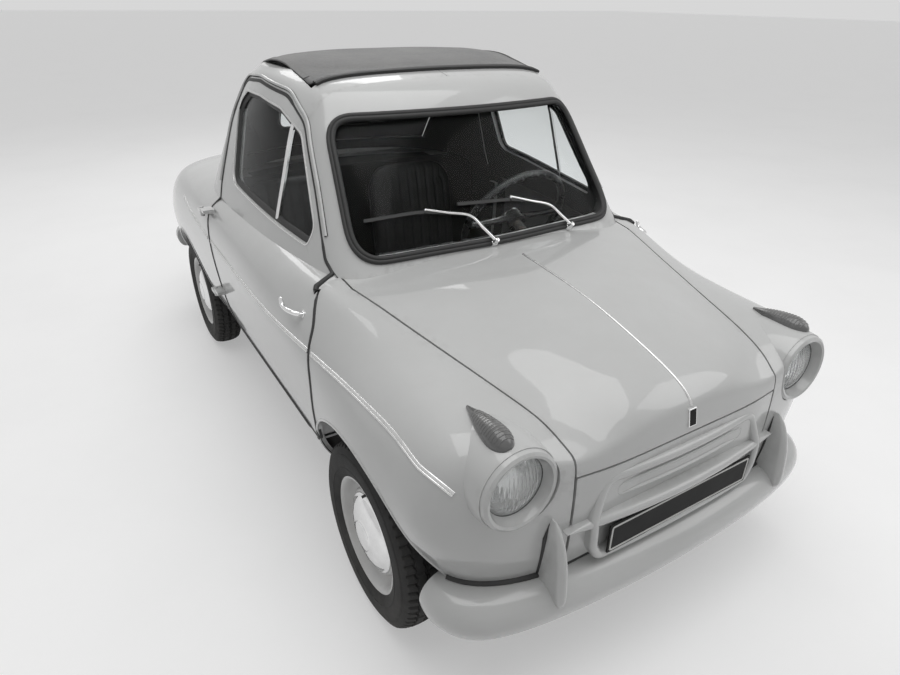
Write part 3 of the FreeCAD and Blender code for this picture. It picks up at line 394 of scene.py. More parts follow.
def build_materials(c):
    for slot, name, colour, rough, values, effects in PLAIN_FINISHES:
        made = Finish(name, getattr(c, colour) if isinstance(colour, str) else colour, rough, **values)
        for effect, *settings in effects:
            getattr(made, effect)(*settings)
        MATERIALS[slot] = made.done()

    paint = Finish("body_paint_gloss", c.paint, 0.32, coat=0.9, coat_rough=0.04)
    paint.mottle(3.0, 0.025, fine=260.0, bump=0.05, distance=0.0004)
    paint.dust(0.20, (0.40, 0.395, 0.38), 5.0)
    paint.wear(0.35, (0.34, 0.335, 0.33))
    # Painted shade: the faces that look into the cabin get the dark cabin colour, and lose their coat and some of their
    # gloss.
    cabin_shade_mask = paint.group(cabin_shade_group())["Mask"]
    paint.shade(cabin_shade_mask, c.cabin_painted_shade)
    dull = math_node(paint.tree, "MULTIPLY", cabin_shade_mask, 0.75)
    paint.rough_now = math_node(paint.tree, "MAXIMUM", paint.rough_now, dull)
    paint.tree.links.new(ramp(paint.tree, cabin_shade_mask, 0.0, 1.0, 0.9, 0.0), paint.shader.inputs["Coat Weight"])
    MATERIALS["body_paint"] = paint.done()

    roof = Finish("roof_fabric_woven", c.roof, 0.82)
    weave = roof.group(weave_group(), Threads=1900.0)
    dark, light, crest = (tuple(v * k for v in c.roof) for k in (0.82, 1.16, 1.25))
    roof.base = mix_colour(roof.tree, ramp(roof.tree, weave["Shade"], 0.3, 0.7), dark, light)
    roof.shade(weave["Height"], crest, 0.35)
    roof.dust(0.25, (0.42, 0.41, 0.39), 7.0)
    # Painted shade: the roof's underside over the cabin gets the dark cabin colour.
    roof.shade(roof.group(cabin_shade_group(), Shelf=0.0)["Mask"], c.cabin_painted_shade)
    roof.bump(weave["Height"], 0.5, 0.0006)
    roof.put("Sheen Weight", 0.25)
    roof.put("Sheen Roughness", 0.5)
    MATERIALS["roof_fabric"] = roof.done()

    glass = Finish("window_glass", (0.93, 0.95, 0.95), 0.015)
    glass.put("Transmission Weight", 1.0)
    glass.put("IOR", 1.12)
    glass.film(0.16, 4.0, 0.012, 0.35)
    MATERIALS["clear_glass"] = glass.done()

    lens = Finish("lamp_lens_glass", (0.94, 0.95, 0.95), 0.04)
    lens.put("Transmission Weight", 0.85)
    lens.put("IOR", 1.35)
    lens.film(0.3, 14.0, 0.03, 0.4)
    MATERIALS["lens_glass"] = lens.done()

    mat = Finish("floor_mat_rubber", (0.035, 0.035, 0.035), 0.8)
    weave = mat.group(weave_group(), Threads=320.0)
    mat.base = mix_colour(mat.tree, weave["Height"], (0.025, 0.025, 0.025), (0.05, 0.05, 0.05))
    mat.bump(weave["Height"], 0.6, 0.002)
    MATERIALS["mat_rubber"] = mat.done()


# Shape helpers

def add_mesh(name, verts, faces, material, body, angle=None):
    """A smoothly shaded piece that rides on a body; edges sharper than the angle in degrees stay sharp."""
    mesh = bpy.data.meshes.new(name)
    mesh.from_pydata([tuple(v) for v in verts], [], faces)
    mesh.validate()
    obj = bpy.data.objects.new(name, mesh)
    bpy.context.scene.collection.objects.link(obj)
    mesh.materials.append(MATERIALS[material])
    mesh.polygons.foreach_set("use_smooth", [True] * len(mesh.polygons))
    if angle is not None:
        mesh.set_sharp_from_angle(angle=math.radians(angle))
    bm = bmesh.new()
    bm.from_mesh(mesh)
    bmesh.ops.recalc_face_normals(bm, faces=bm.faces)
    bm.to_mesh(mesh)
    bm.free()
    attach(obj, body)
    return obj


def join(parts):
    """Merge (verts, faces) pairs into one pair."""
    verts, faces = [], []
    for v, f in parts:
        base = len(verts)
        verts.extend(v)
        faces.extend([tuple(i + base for i in face) for face in f])
    return verts, faces


def mirror_part(part):
    verts, faces = part
    return [Vector((-v[0], v[1], v[2])) for v in verts], [tuple(reversed(f)) for f in faces]


def frames_along(points, closed, normals=None):
    """Tangent, side and normal at each point of a path."""
    n = len(points)
    out = []
    last = None
    for i in range(n):
        a = points[(i - 1) % n] if closed or i > 0 else points[i]
        b = points[(i + 1) % n] if closed or i < n - 1 else points[i]
        t = (b - a).normalized()
        if normals is not None:
            nrm = normals[i]
        elif last is not None:
            nrm = last
        else:
            nrm = Vector((0, 0, 1)) if abs(t.z) < 0.9 else Vector((1, 0, 0))
        nrm = (nrm - t * nrm.dot(t)).normalized()
        last = nrm
        out.append((t, t.cross(nrm).normalized(), nrm))
    return out


def ring_faces(rings, size, loop=False, closed=True):
    """Quads between rings of points; loop joins the last ring to the first, closed joins each ring's ends."""
    faces = []
    for i in range(rings if loop else rings - 1):
        j = (i + 1) % rings
        for q in range(size if closed else size - 1):
            r = (q + 1) % size
            faces.append((i * size + q, i * size + r, j * size + r, j * size + q))
    return faces


def end_caps(rings, size):
    """Faces that close the first and the last ring."""
    return [tuple(range(size)), tuple(reversed(range((rings - 1) * size, rings * size)))]


def sweep(points, profile, closed=False, normals=None, scales=None):
    """Sweep a closed profile of (side, normal) offsets along a path."""
    points = [Vector(p) for p in points]
    verts = []
    for i, (p, (_, s, n)) in enumerate(zip(points, frames_along(points, closed, normals))):
        k = scales[i] if scales else 1.0
        verts.extend(p + s * (a * k) + n * (b * k) for a, b in profile)
    m, rings = len(profile), len(points)
    faces = ring_faces(rings, m, loop=closed)
    if not closed:
        faces += [tuple(reversed(range(m))), tuple(range((rings - 1) * m, rings * m))]
    return verts, faces


def strip(*half, top=None):
    """A section with two like sides from (half width, height) pairs; top is the height of a ridge between them."""
    ridge = [] if top is None else [(0.0, top)]
    return [(-a, b) for a, b in half] + ridge + [(a, b) for a, b in reversed(half)]


def round_profile(rx, ry=None, count=10):
    ry = rx if ry is None else ry
    return [(rx * math.cos(2 * math.pi * i / count), ry * math.sin(2 * math.pi * i / count)) for i in range(count)]


def half_round(width, height, count=8, sink=0.002):
    """A low crowned moulding section that stands on its surface."""
    pts = [(-width, -sink)]
    for i in range(count + 1):
        a = math.pi - math.pi * i / count
        pts.append((width * math.cos(a), height * math.sin(a)))
    pts.append((width, -sink))
    return pts


def lathe(profile, origin, axis, count=48, closed=False):
    """Turn a profile of (along, radius) pairs about an axis."""
    origin, axis = Vector(origin), Vector(axis).normalized()
    side = axis.orthogonal().normalized()
    up = axis.cross(side)
    verts = []
    for i in range(count):
        a = 2 * math.pi * i / count
        d = side * math.cos(a) + up * math.sin(a)
        verts.extend(origin + axis * along + d * radius for along, radius in profile)
    return verts, ring_faces(count, len(profile), loop=True, closed=closed)


def smooth_path(points, per=6, closed=False):
    """Catmull-Rom points through a list of points."""
    pts = [Vector(p) for p in points]
    n = len(pts)
    out = []
    for i in range(n if closed else n - 1):
        p0 = pts[(i - 1) % n] if closed or i > 0 else pts[i]
        p1, p2 = pts[i], pts[(i + 1) % n]
        p3 = pts[(i + 2) % n] if closed or i < n - 2 else pts[(i + 1) % n]
        for k in range(per):
            t = k / per
            out.append(0.5 * ((2 * p1) + (p2 - p0) * t + (2 * p0 - 5 * p1 + 4 * p2 - p3) * t * t
                              + (3 * p1 - p0 - 3 * p2 + p3) * t ** 3))
    if not closed:
        out.append(pts[-1])
    return out


def corner_path(points, radii, per=8):
    """Closed flat outline with rounded corners, as 2D vectors with evenly added points on straights."""
    n = len(points)
    out = []
    for i, (x, y) in enumerate(points):
        p = Vector((x, y))
        a = Vector(points[i - 1]) - p
        b = Vector(points[(i + 1) % n]) - p
        r = radii[i]
        angle = a.angle(b)
        if r < 1e-4 or abs(angle - math.pi) < 0.01:
            out.append(p)
            continue
        t = min(r / math.tan(angle / 2), 0.48 * a.length, 0.48 * b.length)
        pa, pb = p + a.normalized() * t, p + b.normalized() * t
        for k in range(per + 1):
            u = k / per
            out.append(pa * (1 - u) ** 2 + p * 2 * u * (1 - u) + pb * u * u)
    full = []
    m = len(out)
    for i in range(m):
        a, b = out[i], out[(i + 1) % m]
        steps = max(1, int((b - a).length / 0.02))
        for k in range(steps):
            full.append(a.lerp(b, k / steps))
    return full


def shifted(outline, distance):
    """A closed flat outline moved square to its run."""
    n = len(outline)
    moved = []
    for i, p in enumerate(outline):
        t = outline[(i + 1) % n] - outline[i - 1]
        moved.append(p + Vector((-t.y, t.x)).normalized() * distance)
    return moved


def eased(points, closed=True):
    """Points drawn toward their neighbours."""
    last = len(points) - 1
    out = []
    for i, p in enumerate(points):
        before = points[i - 1] if closed or i > 0 else p
        after = points[(i + 1) % len(points)] if closed or i < last else p
        out.append((before + p * 2 + after) / 4)
    return out


def grid_border(rows, cols):
    """Indices round the edge of a grid of points, in order."""
    m = cols + 1
    return [i for i in range(cols)] + [j * m + cols for j in range(rows)] \
        + [rows * m + i for i in range(cols, 0, -1)] + [j * m for j in range(rows, 0, -1)]


class Skin:
    """Finds points on CAD surfaces with rays."""

    def __init__(self, *names):
        verts, polys = [], []
        for name in names:
            mesh = NODES[name].data
            base = len(verts)
            verts.extend(v.co.copy() for v in mesh.vertices)
            polys.extend(tuple(i + base for i in p.vertices) for p in mesh.polygons)
        self.tree = BVHTree.FromPolygons(verts, polys)

    def hit(self, origin, direction):
        """The point that a ray meets and the normal there, turned toward the ray, or None."""
        spot, normal, _, _ = self.tree.ray_cast(Vector(origin), Vector(direction).normalized())
        if spot is None:
            return None
        if normal.dot(Vector(direction)) > 0:
            normal = -normal
        return spot, normal

    def side(self, y, z, side=-1):
        return self.hit((side * 1.5, y, z), (-side, 0, 0))

    def top(self, x, y):
        return self.hit((x, y, 2.0), (0, 0, -1))

    def front(self, x, z):
        return self.hit((x, -2.5, z), (0, 1, 0))

    def back(self, x, z):
        return self.hit((x, 2.5, z), (0, -1, 0))


def on_skin(hits, lift=0.0):
    """Points and smoothed normals of the hits that were found."""
    found = [h for h in hits if h is not None]
    points = [p + n * lift for p, n in found]
    normals = []
    for i in range(len(found)):
        total = Vector((0, 0, 0))
        for k in range(max(0, i - 2), min(len(found), i + 3)):
            total += found[k][1]
        normals.append(total.normalized())
    return points, normals


def laid(hits, profile, lift=0.0, closed=False, scales=None):
    """Sweep a profile along the points that the rays met."""
    points, normals = on_skin(hits, lift)
    return sweep(points, profile, closed, normals, scales)


def spaced(a, b, step=0.02):
    count = max(2, int(abs(b - a) / step) + 1)
    return [a + (b - a) * i / (count - 1) for i in range(count)]


def taper(first, drop, count):
    """Scales that fall evenly along a path."""
    return [first - drop * k / (count - 1) for k in range(count)]


def rod_part(a, b, radius, count=12, end=None):
    """A round bar between two points, with a second radius at its far end if given."""
    a, b = Vector(a), Vector(b)
    verts = []
    axis = (b - a).normalized()
    side = axis.orthogonal().normalized()
    up = axis.cross(side)
    for p, r in ((a, radius), (b, radius if end is None else end)):
        for i in range(count):
            t = 2 * math.pi * i / count
            verts.append(p + (side * math.cos(t) + up * math.sin(t)) * r)
    return verts, ring_faces(2, count) + [tuple(reversed(range(count))), tuple(range(count, 2 * count))]


def block_part(low, high, bevel=0.003):
    """A box with bevelled edges."""
    bm = bmesh.new()
    bmesh.ops.create_cube(bm, size=1.0)
    low, high = Vector(low), Vector(high)
    for v in bm.verts:
        v.co = Vector((low[k] + (high[k] - low[k]) * (v.co[k] + 0.5) for k in range(3)))
    bmesh.ops.bevel(bm, geom=bm.edges[:], offset=bevel, segments=3, profile=0.7, affect="EDGES")
    bm.verts.index_update()
    part = [v.co.copy() for v in bm.verts], [tuple(v.index for v in f.verts) for f in bm.faces]
    bm.free()
    return part


def pad_mesh(half_w, half_l, half_h, pleats, radius):
    """A crowned cushion in its own axes: channels run along Y, rounded corners in plan."""
    cols, rows = pleats * 8, 28
    verts, faces = [], []

    def plan(u, v):
        x, y = u * half_w, v * half_l
        cx, cy = half_w - radius, half_l - radius
        if abs(x) > cx and abs(y) > cy:
            dx, dy = abs(x) - cx, abs(y) - cy
            reach = max(dx, dy)
            length = math.hypot(dx, dy)
            k = reach / length if length > 1e-9 else 1.0
            x = math.copysign(cx + dx * k, x)
            y = math.copysign(cy + dy * k, y)
        return x, y

    for face in (1, -1):
        for j in range(rows + 1):
            for i in range(cols + 1):
                u, v = 2 * i / cols - 1, 2 * j / rows - 1
                x, y = plan(u, v)
                edge = min((1 - abs(u)) * half_w, (1 - abs(v)) * half_l)
                rise = min(1.0, edge / 0.045)
                rise = math.sqrt(max(0.0, 1 - (1 - rise) ** 2))
                crown = 0.012 * (1 - u * u) * (1 - v * v)
                h = half_h * (0.30 + 0.70 * rise) + crown
                if face > 0:
                    inside = min(1.0, edge / 0.05)
                    groove = 0.5 - 0.5 * math.cos(2 * math.pi * ((u + 1) / 2 * pleats))
                    h -= 0.007 * inside * (1 - groove) ** 6
                    h += 0.0008 * math.sin(17 * v + 5 * u) * inside
                    verts.append(Vector((x, y, h)))
                else:
                    verts.append(Vector((x, y, -half_h * (0.35 + 0.65 * rise))))
    m = cols + 1
    size = m * (rows + 1)
    for j in range(rows):
        for i in range(cols):
            a = j * m + i
            faces.append((a, a + 1, a + m + 1, a + m))
            b = a + size
            faces.append((b, b + m, b + m + 1, b + 1))
    border = grid_border(rows, cols)
    for k, a in enumerate(border):
        b = border[(k + 1) % len(border)]
        faces.append((b, a, a + size, b + size))
    return verts, faces


# Operators, one for each piece or group of like pieces

class CAR_OT_stage(bpy.types.Operator):
    """Set the camera, the studio floor and the soft light"""
    bl_idname = "microcar.stage"
    bl_label = "Stage"

    def execute(self, context):
        scene = context.scene
        yaw, pitch, roll = (math.radians(a) for a in (CAMERA_YAW, CAMERA_PITCH, CAMERA_ROLL))
        look = Vector((math.sin(yaw) * math.cos(pitch), math.cos(yaw) * math.cos(pitch), -math.sin(pitch)))
        right = Vector((math.cos(yaw), -math.sin(yaw), 0))
        up = right.cross(look)
        side = right * math.cos(roll) + up * math.sin(roll)
        top = up * math.cos(roll) - right * math.sin(roll)
        camera_data = bpy.data.cameras.new("view_camera")
        camera_data.sensor_width = CAMERA_SENSOR
        camera_data.lens = CAMERA_LENS
        camera_data.clip_end = 500.0
        camera = bpy.data.objects.new("view_camera", camera_data)
        scene.collection.objects.link(camera)
        turn = Matrix((side, top, -look)).transposed()
        camera.matrix_world = Matrix.Translation(CAMERA_PLACE) @ turn.to_4x4()
        scene.camera = camera
        scene.view_settings.view_transform = "Standard"
        self.floor(scene)
        self.lights(scene)
        self.world(scene)
        return {"FINISHED"}

    def floor(self, scene):
        mesh = bpy.data.meshes.new("studio_floor")
        size = 60.0
        mesh.from_pydata([(-size, -size, 0), (size, -size, 0), (size, size, 0), (-size, size, 0)], [], [(0, 1, 2, 3)])
        floor = bpy.data.objects.new("studio_floor", mesh)
        scene.collection.objects.link(floor)
        ground = Finish("studio_floor_plaster", scene.car_colours.floor, 0.9)
        ground.mottle(1.5, 0.03, fine=60.0, bump=0.05, distance=0.002)
        mesh.materials.append(ground.done())
        tree = ground.tree
        glow = tree.nodes.new("ShaderNodeEmission")
        both = tree.nodes.new("ShaderNodeAddShader")
        tree.links.new(math_node(tree, "MULTIPLY", soft_rays(tree), FLOOR_GLOW), glow.inputs["Strength"])
        tree.links.new(ground.shader.outputs[0], both.inputs[0])
        tree.links.new(glow.outputs[0], both.inputs[1])
        tree.links.new(both.outputs[0], tree.nodes["Material Output"].inputs["Surface"])

    def lights(self, scene):
        for name, spot, aim, width, depth, power in LIGHTS:
            light = bpy.data.lights.new(name, "AREA")
            light.shape = "RECTANGLE"
            light.size, light.size_y, light.energy = width, depth, power
            lamp = bpy.data.objects.new(name, light)
            lamp.location = spot
            lamp.rotation_euler = (Vector(aim) - Vector(spot)).to_track_quat("-Z", "Y").to_euler()
            scene.collection.objects.link(lamp)

    def world(self, scene):
        """Soft white light, with a pale grey where the backdrop is seen."""
        scene.world = bpy.data.worlds.new("studio_world")
        scene.world.use_nodes = True
        tree = scene.world.node_tree
        soft, pale = tree.nodes["Background"], tree.nodes.new("ShaderNodeBackground")
        for shader, value, strength in ((soft, 1.0, SKY_LIGHT), (pale, BACKDROP_GREY, 1.0)):
            shader.inputs["Color"].default_value = (value, value, value, 1)
            shader.inputs["Strength"].default_value = strength
        mixer = tree.nodes.new("ShaderNodeMixShader")
        for i, output in enumerate((soft_rays(tree), soft.outputs[0], pale.outputs[0])):
            tree.links.new(output, mixer.inputs[i])
        tree.links.new(mixer.outputs[0], tree.nodes["World Output"].inputs["Surface"])


class CAR_OT_paint(bpy.types.Operator):
    """Give every part of the frame the finish of its material slot"""
    bl_idname = "microcar.paint"
    bl_label = "Paint the frame"

    def execute(self, context):
        build_materials(context.scene.car_colours)
        slots = {row["node"]: row["material_slot"] for row in frame["record"]["subparts"]}
        special = {"tail_lamps": "tail_plastic", "headlamp_lenses": "lens_glass"}
        for name, node in NODES.items():
            node.data.materials.clear()
            node.data.materials.append(MATERIALS[special.get(name, slots[name])])
        return {"FINISHED"}


class CAR_OT_tyres(bpy.types.Operator):
    """Turn the four tyres with ribs, cross grooves and sidewall rings"""
    bl_idname = "microcar.tyres"
    bl_label = "Tyres"

    def execute(self, context):
        sizes = context.scene.car_sizes
        crown, shoulder, bead = 0.2397, 0.2295, 0.1428
        ribs = [0.0005, 0.0015, 0.0055, 0.0065, 0.0225, 0.0235, 0.0275, 0.0285, 0.036, 0.0405, 0.0445]
        wall = [(0.040, bead), (0.0465, 0.150), (0.0520, 0.162), (0.0546, 0.172), (0.0552, 0.1735), (0.0562, 0.1740),
                (0.0562, 0.1765), (0.0556, 0.177), (0.0561, 0.186), (0.0563, 0.196), (0.0553, 0.2065), (0.0545, 0.2075),
                (0.0548, 0.2095), (0.0535, 0.2105), (0.0512, 0.218), (0.0488, 0.2225), (0.0470, 0.2262)]
        profile = [(-x, r, False) for x, r in wall]
        for x in [-x for x in reversed(ribs)] + ribs:
            profile.append((x, shoulder + (crown - shoulder) * (1 - (abs(x) / 0.0465) ** 2.6), True))
        profile += [(x, r, False) for x, r in reversed(wall)]
        count = sizes.tread_blocks * 4
        depth = sizes.tread_depth
        for tag, side, axle, body in WHEELS:
            verts = []
            for i in range(count):
                a = 2 * math.pi * i / count
                zigzag = 0.0016 if (i // 2) % 2 else -0.0016
                for x, r, tread in profile:
                    if tread:
                        if 0.0225 < abs(x) < 0.0277 or 0.0008 < abs(x) < 0.0052:
                            r -= depth
                        if abs(x) > 0.028 and i % 4 == 0:
                            r -= depth
                        if 0.0060 < abs(x) < 0.0230 and i % 8 == 4:
                            r -= depth * 0.6
                        if abs(x) < 0.03:
                            x += zigzag
                    verts.append((side * HUB_X + x, axle + r * math.cos(a), HUB_Z + r * math.sin(a)))
            faces = ring_faces(count, len(profile), loop=True)
            tyre = add_mesh("tyre_" + tag + "_treaded", verts, faces, "tyre_rubber", body, angle=32)
            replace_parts(tyre, "tyre_" + tag)
        return {"FINISHED"}


class CAR_OT_wheels(bpy.types.Operator):
    """Turn the pressed steel wheels with their domed hub caps"""
    bl_idname = "microcar.wheels"
    bl_label = "Wheels"

    def execute(self, context):
        rim = [(-0.046, 0.1465), (-0.0455, 0.150), (-0.0435, 0.1515), (-0.041, 0.150), (-0.040, 0.1425),
               (-0.030, 0.1405),
               (-0.020, 0.128), (0.004, 0.126), (0.022, 0.139), (0.038, 0.1422), (0.0405, 0.1425), (0.0415, 0.149),
               (0.0435, 0.1515), (0.0462, 0.1505), (0.047, 0.1475), (0.0462, 0.1448), (0.043, 0.1415), (0.040, 0.1385),
               (0.026, 0.1345), (0.014, 0.1242), (0.010, 0.118)]
        disc = [(0.010, 0.118), (0.0115, 0.1160), (0.0235, 0.1130), (0.0285, 0.108), (0.0290, 0.1015)]
        back = [(0.0260, 0.1015), (0.0255, 0.1065), (0.0205, 0.1105), (0.0085, 0.1140), (0.0060, 0.1180),
                (0.004, 0.121), (-0.018, 0.1235), (-0.030, 0.1365), (-0.0425, 0.1405)]
        profile = rim + disc[1:] + back
        cap = [(0.026, 0.1045), (0.0295, 0.1048), (0.0325, 0.1030), (0.0335, 0.1000), (0.0330, 0.0965),
               (0.0350, 0.0940),
               (0.0400, 0.0880), (0.0450, 0.0780), (0.0488, 0.0650), (0.0510, 0.0500), (0.0522, 0.0400),
               (0.0530, 0.0385), (0.0545, 0.0378), (0.0556, 0.0330), (0.0560, 0.0200), (0.0560, 0.0)]
        drum = ([(0.0278, 0.006), (0.0278, 0.1012), (0.0245, 0.1012), (0.0245, 0.006)],
                [(-0.040, 0.078), (-0.040, 0.095), (0.002, 0.098), (0.0085, 0.095), (0.0085, 0.078)],
                [(-0.040, 0.0135), (-0.040, 0.026), (0.0245, 0.026), (0.0245, 0.0135)])
        for tag, side, axle, body in WHEELS:
            axis, centre = (side, 0, 0), Vector((side * HUB_X, axle, HUB_Z))
            name = "wheel_" + tag
            wheel = add_mesh(name + "_rim", *lathe(profile, centre, axis, 96, True), "rim_paint", body, angle=50)
            turned = [lathe(part, centre, axis, count, True) for part, count in zip(drum, (64, 64, 40))]
            add_mesh(name + "_drum", *join(turned), "dark_steel", body, angle=40)
            add_mesh(name + "_cap", *lathe(cap, centre, axis, 96), "bright_trim", body, angle=50)
            inner, outer = centre + Vector((side * 0.022, 0, 0.126)), centre + Vector((side * 0.048, 0, 0.122))
            add_mesh(name + "_valve", *rod_part(inner, outer, 0.0035), "seal_rubber", body)
            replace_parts(wheel, "rim_" + tag)
        return {"FINISHED"}


class CAR_OT_seats(bpy.types.Operator):
    """Upholster the two seats with sewn channels, piping and crowned cushions"""
    bl_idname = "microcar.seats"
    bl_label = "Seats"

    def execute(self, context):
        pleats = context.scene.car_sizes.pleats
        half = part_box("seats")[1].x - SEAT_X - 0.004
        for side, tag in SIDES:
            cushion = pad_mesh(half, 0.205, 0.056, pleats, 0.080)
            place = Matrix.Translation((side * SEAT_X, 0.086, 0.3625)) @ Matrix.Rotation(math.radians(-4.0), 4, "X")
            seat = add_mesh(tag + "_seat_cushion", [place @ v for v in cushion[0]], cushion[1], "seat_fabric", "body")
            squab = pad_mesh(half, 0.236, 0.036, pleats, 0.105)
            lean = Matrix.Translation((side * SEAT_X, 0.372, 0.545)) @ Matrix.Rotation(math.radians(81.5), 4, "X") \
                @ Matrix.Rotation(math.pi, 4, "Z")
            back = add_mesh(tag + "_seat_back", [lean @ v for v in squab[0]], squab[1], "seat_fabric", "body")
            if side < 0:
                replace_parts(seat, "seats")
            pipe = []
            for matrix, length, radius, lift in ((place, 0.205, 0.080, 0.010), (lean, 0.236, 0.105, 0.006)):
                line = corner_path([(-half, -length), (half, -length), (half, length), (-half, length)], [radius] * 4,
                                   8)
                pipe.append(sweep([matrix @ Vector((p.x, p.y, lift)) for p in line], round_profile(0.0035, count=6),
                                  True))
            add_mesh(tag + "_seat_piping", *join(pipe), "seat_fabric", "body")
        return {"FINISHED"}


class CAR_OT_roof(bpy.types.Operator):
    """Stretch the fabric roof over its opening, with hems, seams and the rear window's border"""
    bl_idname = "microcar.roof"
    bl_label = "Fabric roof"

    def execute(self, context):
        skin = Skin("fabric_roof", "rear_window")
        low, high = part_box("fabric_roof")
        cols, rows = 72, 126
        centre, front = Vector((0, 0.13, 0.90)), math.radians(143.0)
        # The rear window's hole: half sizes inside its rounded corners, its middle height and its corner radius
        hole_x, hole_z, middle, corner = 0.207, 0.0295, 1.0125, 0.045

        def lowest(x, above=0.0008):
            """Angle from the centre down to the cover's foot, which bends forward toward the sides."""
            reach = 0.593 - 0.55 * x * x - centre.y
            return math.atan2(low.z + above - centre.z, reach)

        def meet(x, angle):
            """Where a ray from outside, at an angle about the centre, meets the roof."""
            base, out = Vector((x, centre.y, centre.z)), Vector((0, math.cos(angle), math.sin(angle)))
            hit = skin.hit(base + out * 1.2, -out)
            return None if hit is None or (hit[0] - base).dot(out) < 0.15 else hit

        verts = []
        for j in range(rows + 1):
            for i in range(cols + 1):
                x = (low.x + 0.0004) + (high.x - low.x - 0.0008) * i / cols
                hit = meet(x, front + (lowest(x) - front) * j / rows)
                verts.append(hit[0] if hit else None)
        faces = []
        used = {}
        points = []
        for j in range(rows):
            for i in range(cols):
                a = j * (cols + 1) + i
                ring = (a, a + 1, a + cols + 2, a + cols + 1)
                if any(verts[k] is None for k in ring):
                    continue
                mid = sum((verts[k] for k in ring), Vector()) / 4
                beside, beyond = max(0.0, abs(mid.x) - hole_x), max(0.0, abs(mid.z - middle) - hole_z)
                if mid.y > 0.25 and math.hypot(beside, beyond) < corner:
                    continue
                for k in ring:
                    if k not in used:
                        used[k] = len(points)
                        points.append(verts[k].copy())
                faces.append(tuple(used[k] for k in ring))
        for p in points:
            sag = 0.0
            if p.z > 1.2:
                bow = math.cos((p.y + 0.28) / 0.185 * math.pi)
                sag = -0.0022 * (1 - bow) * max(0.0, 1 - (abs(p.x) / 0.40) ** 4)
            fold = 0.0009 * math.sin(p.x * 61.0 + 3.0 * math.sin(p.y * 11.0)) * math.exp(-((p.y + 0.20) / 0.12) ** 2)
            p.z += sag + fold
        cloth = add_mesh("fabric_roof_cover", points, faces, "roof_fabric", "body")
        bm = bmesh.new()
        bm.from_mesh(cloth.data)
        for _ in range(2):
            bmesh.ops.smooth_vert(bm, verts=[v for v in bm.verts if not v.is_boundary], factor=0.5,
                                  use_axis_x=True, use_axis_y=True, use_axis_z=True)
        bm.to_mesh(cloth.data)
        bm.free()
        thick = cloth.modifiers.new("thickness", "SOLIDIFY")
        thick.thickness = 0.004
        thick.offset = -1.0 if cloth.data.polygons[0].normal.z > 0 else 1.0
        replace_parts(cloth, "fabric_roof")

        outer = [skin.top(x, -0.2785) for x in spaced(low.x + 0.012, high.x - 0.012, 0.02)]
        hem = [(-0.011, -0.004), (0.011, -0.004), (0.011, 0.003), (0.006, 0.0045), (-0.006, 0.0045), (-0.011, 0.003)]
        front_hem = add_mesh("fabric_roof_front_hem", *laid(outer, hem, 0.0015), "seal_rubber", "body", angle=40)
        strips = []
        for side in (-1, 1):
            hits = [meet(side * 0.3835, math.radians(139.0 - 143.0 * k / 59)) for k in range(60)]
            strips.append(laid(hits, [(-0.0095, -0.002), (0.0095, -0.002), (0.0085, 0.0012), (-0.0085, 0.0012)],
                               0.0006))
        foot = [meet(x, lowest(x, 0.006)) for x in spaced(low.x + 0.004, high.x - 0.004, 0.02)]
        strips.append(laid(foot, [(-0.007, -0.003), (0.007, -0.003), (0.006, 0.0012), (-0.006, 0.0012)], 0.0006))
        hems = add_mesh("fabric_roof_side_hems", *join(strips), "roof_fabric", "body", angle=40)
        outline = corner_path([(-0.252, 0.938), (0.252, 0.938), (0.252, 1.087), (-0.252, 1.087)], [0.045] * 4)
        edging = [(-0.009, -0.003), (0.009, -0.003), (0.008, 0.0028), (0.002, 0.0042), (-0.008, 0.0028)]
        border = laid([skin.back(p.x, p.y) for p in outline], edging, 0.001, True)
        border = add_mesh("rear_window_border", *border, "seal_rubber", "body", angle=40)
        return {"FINISHED"}


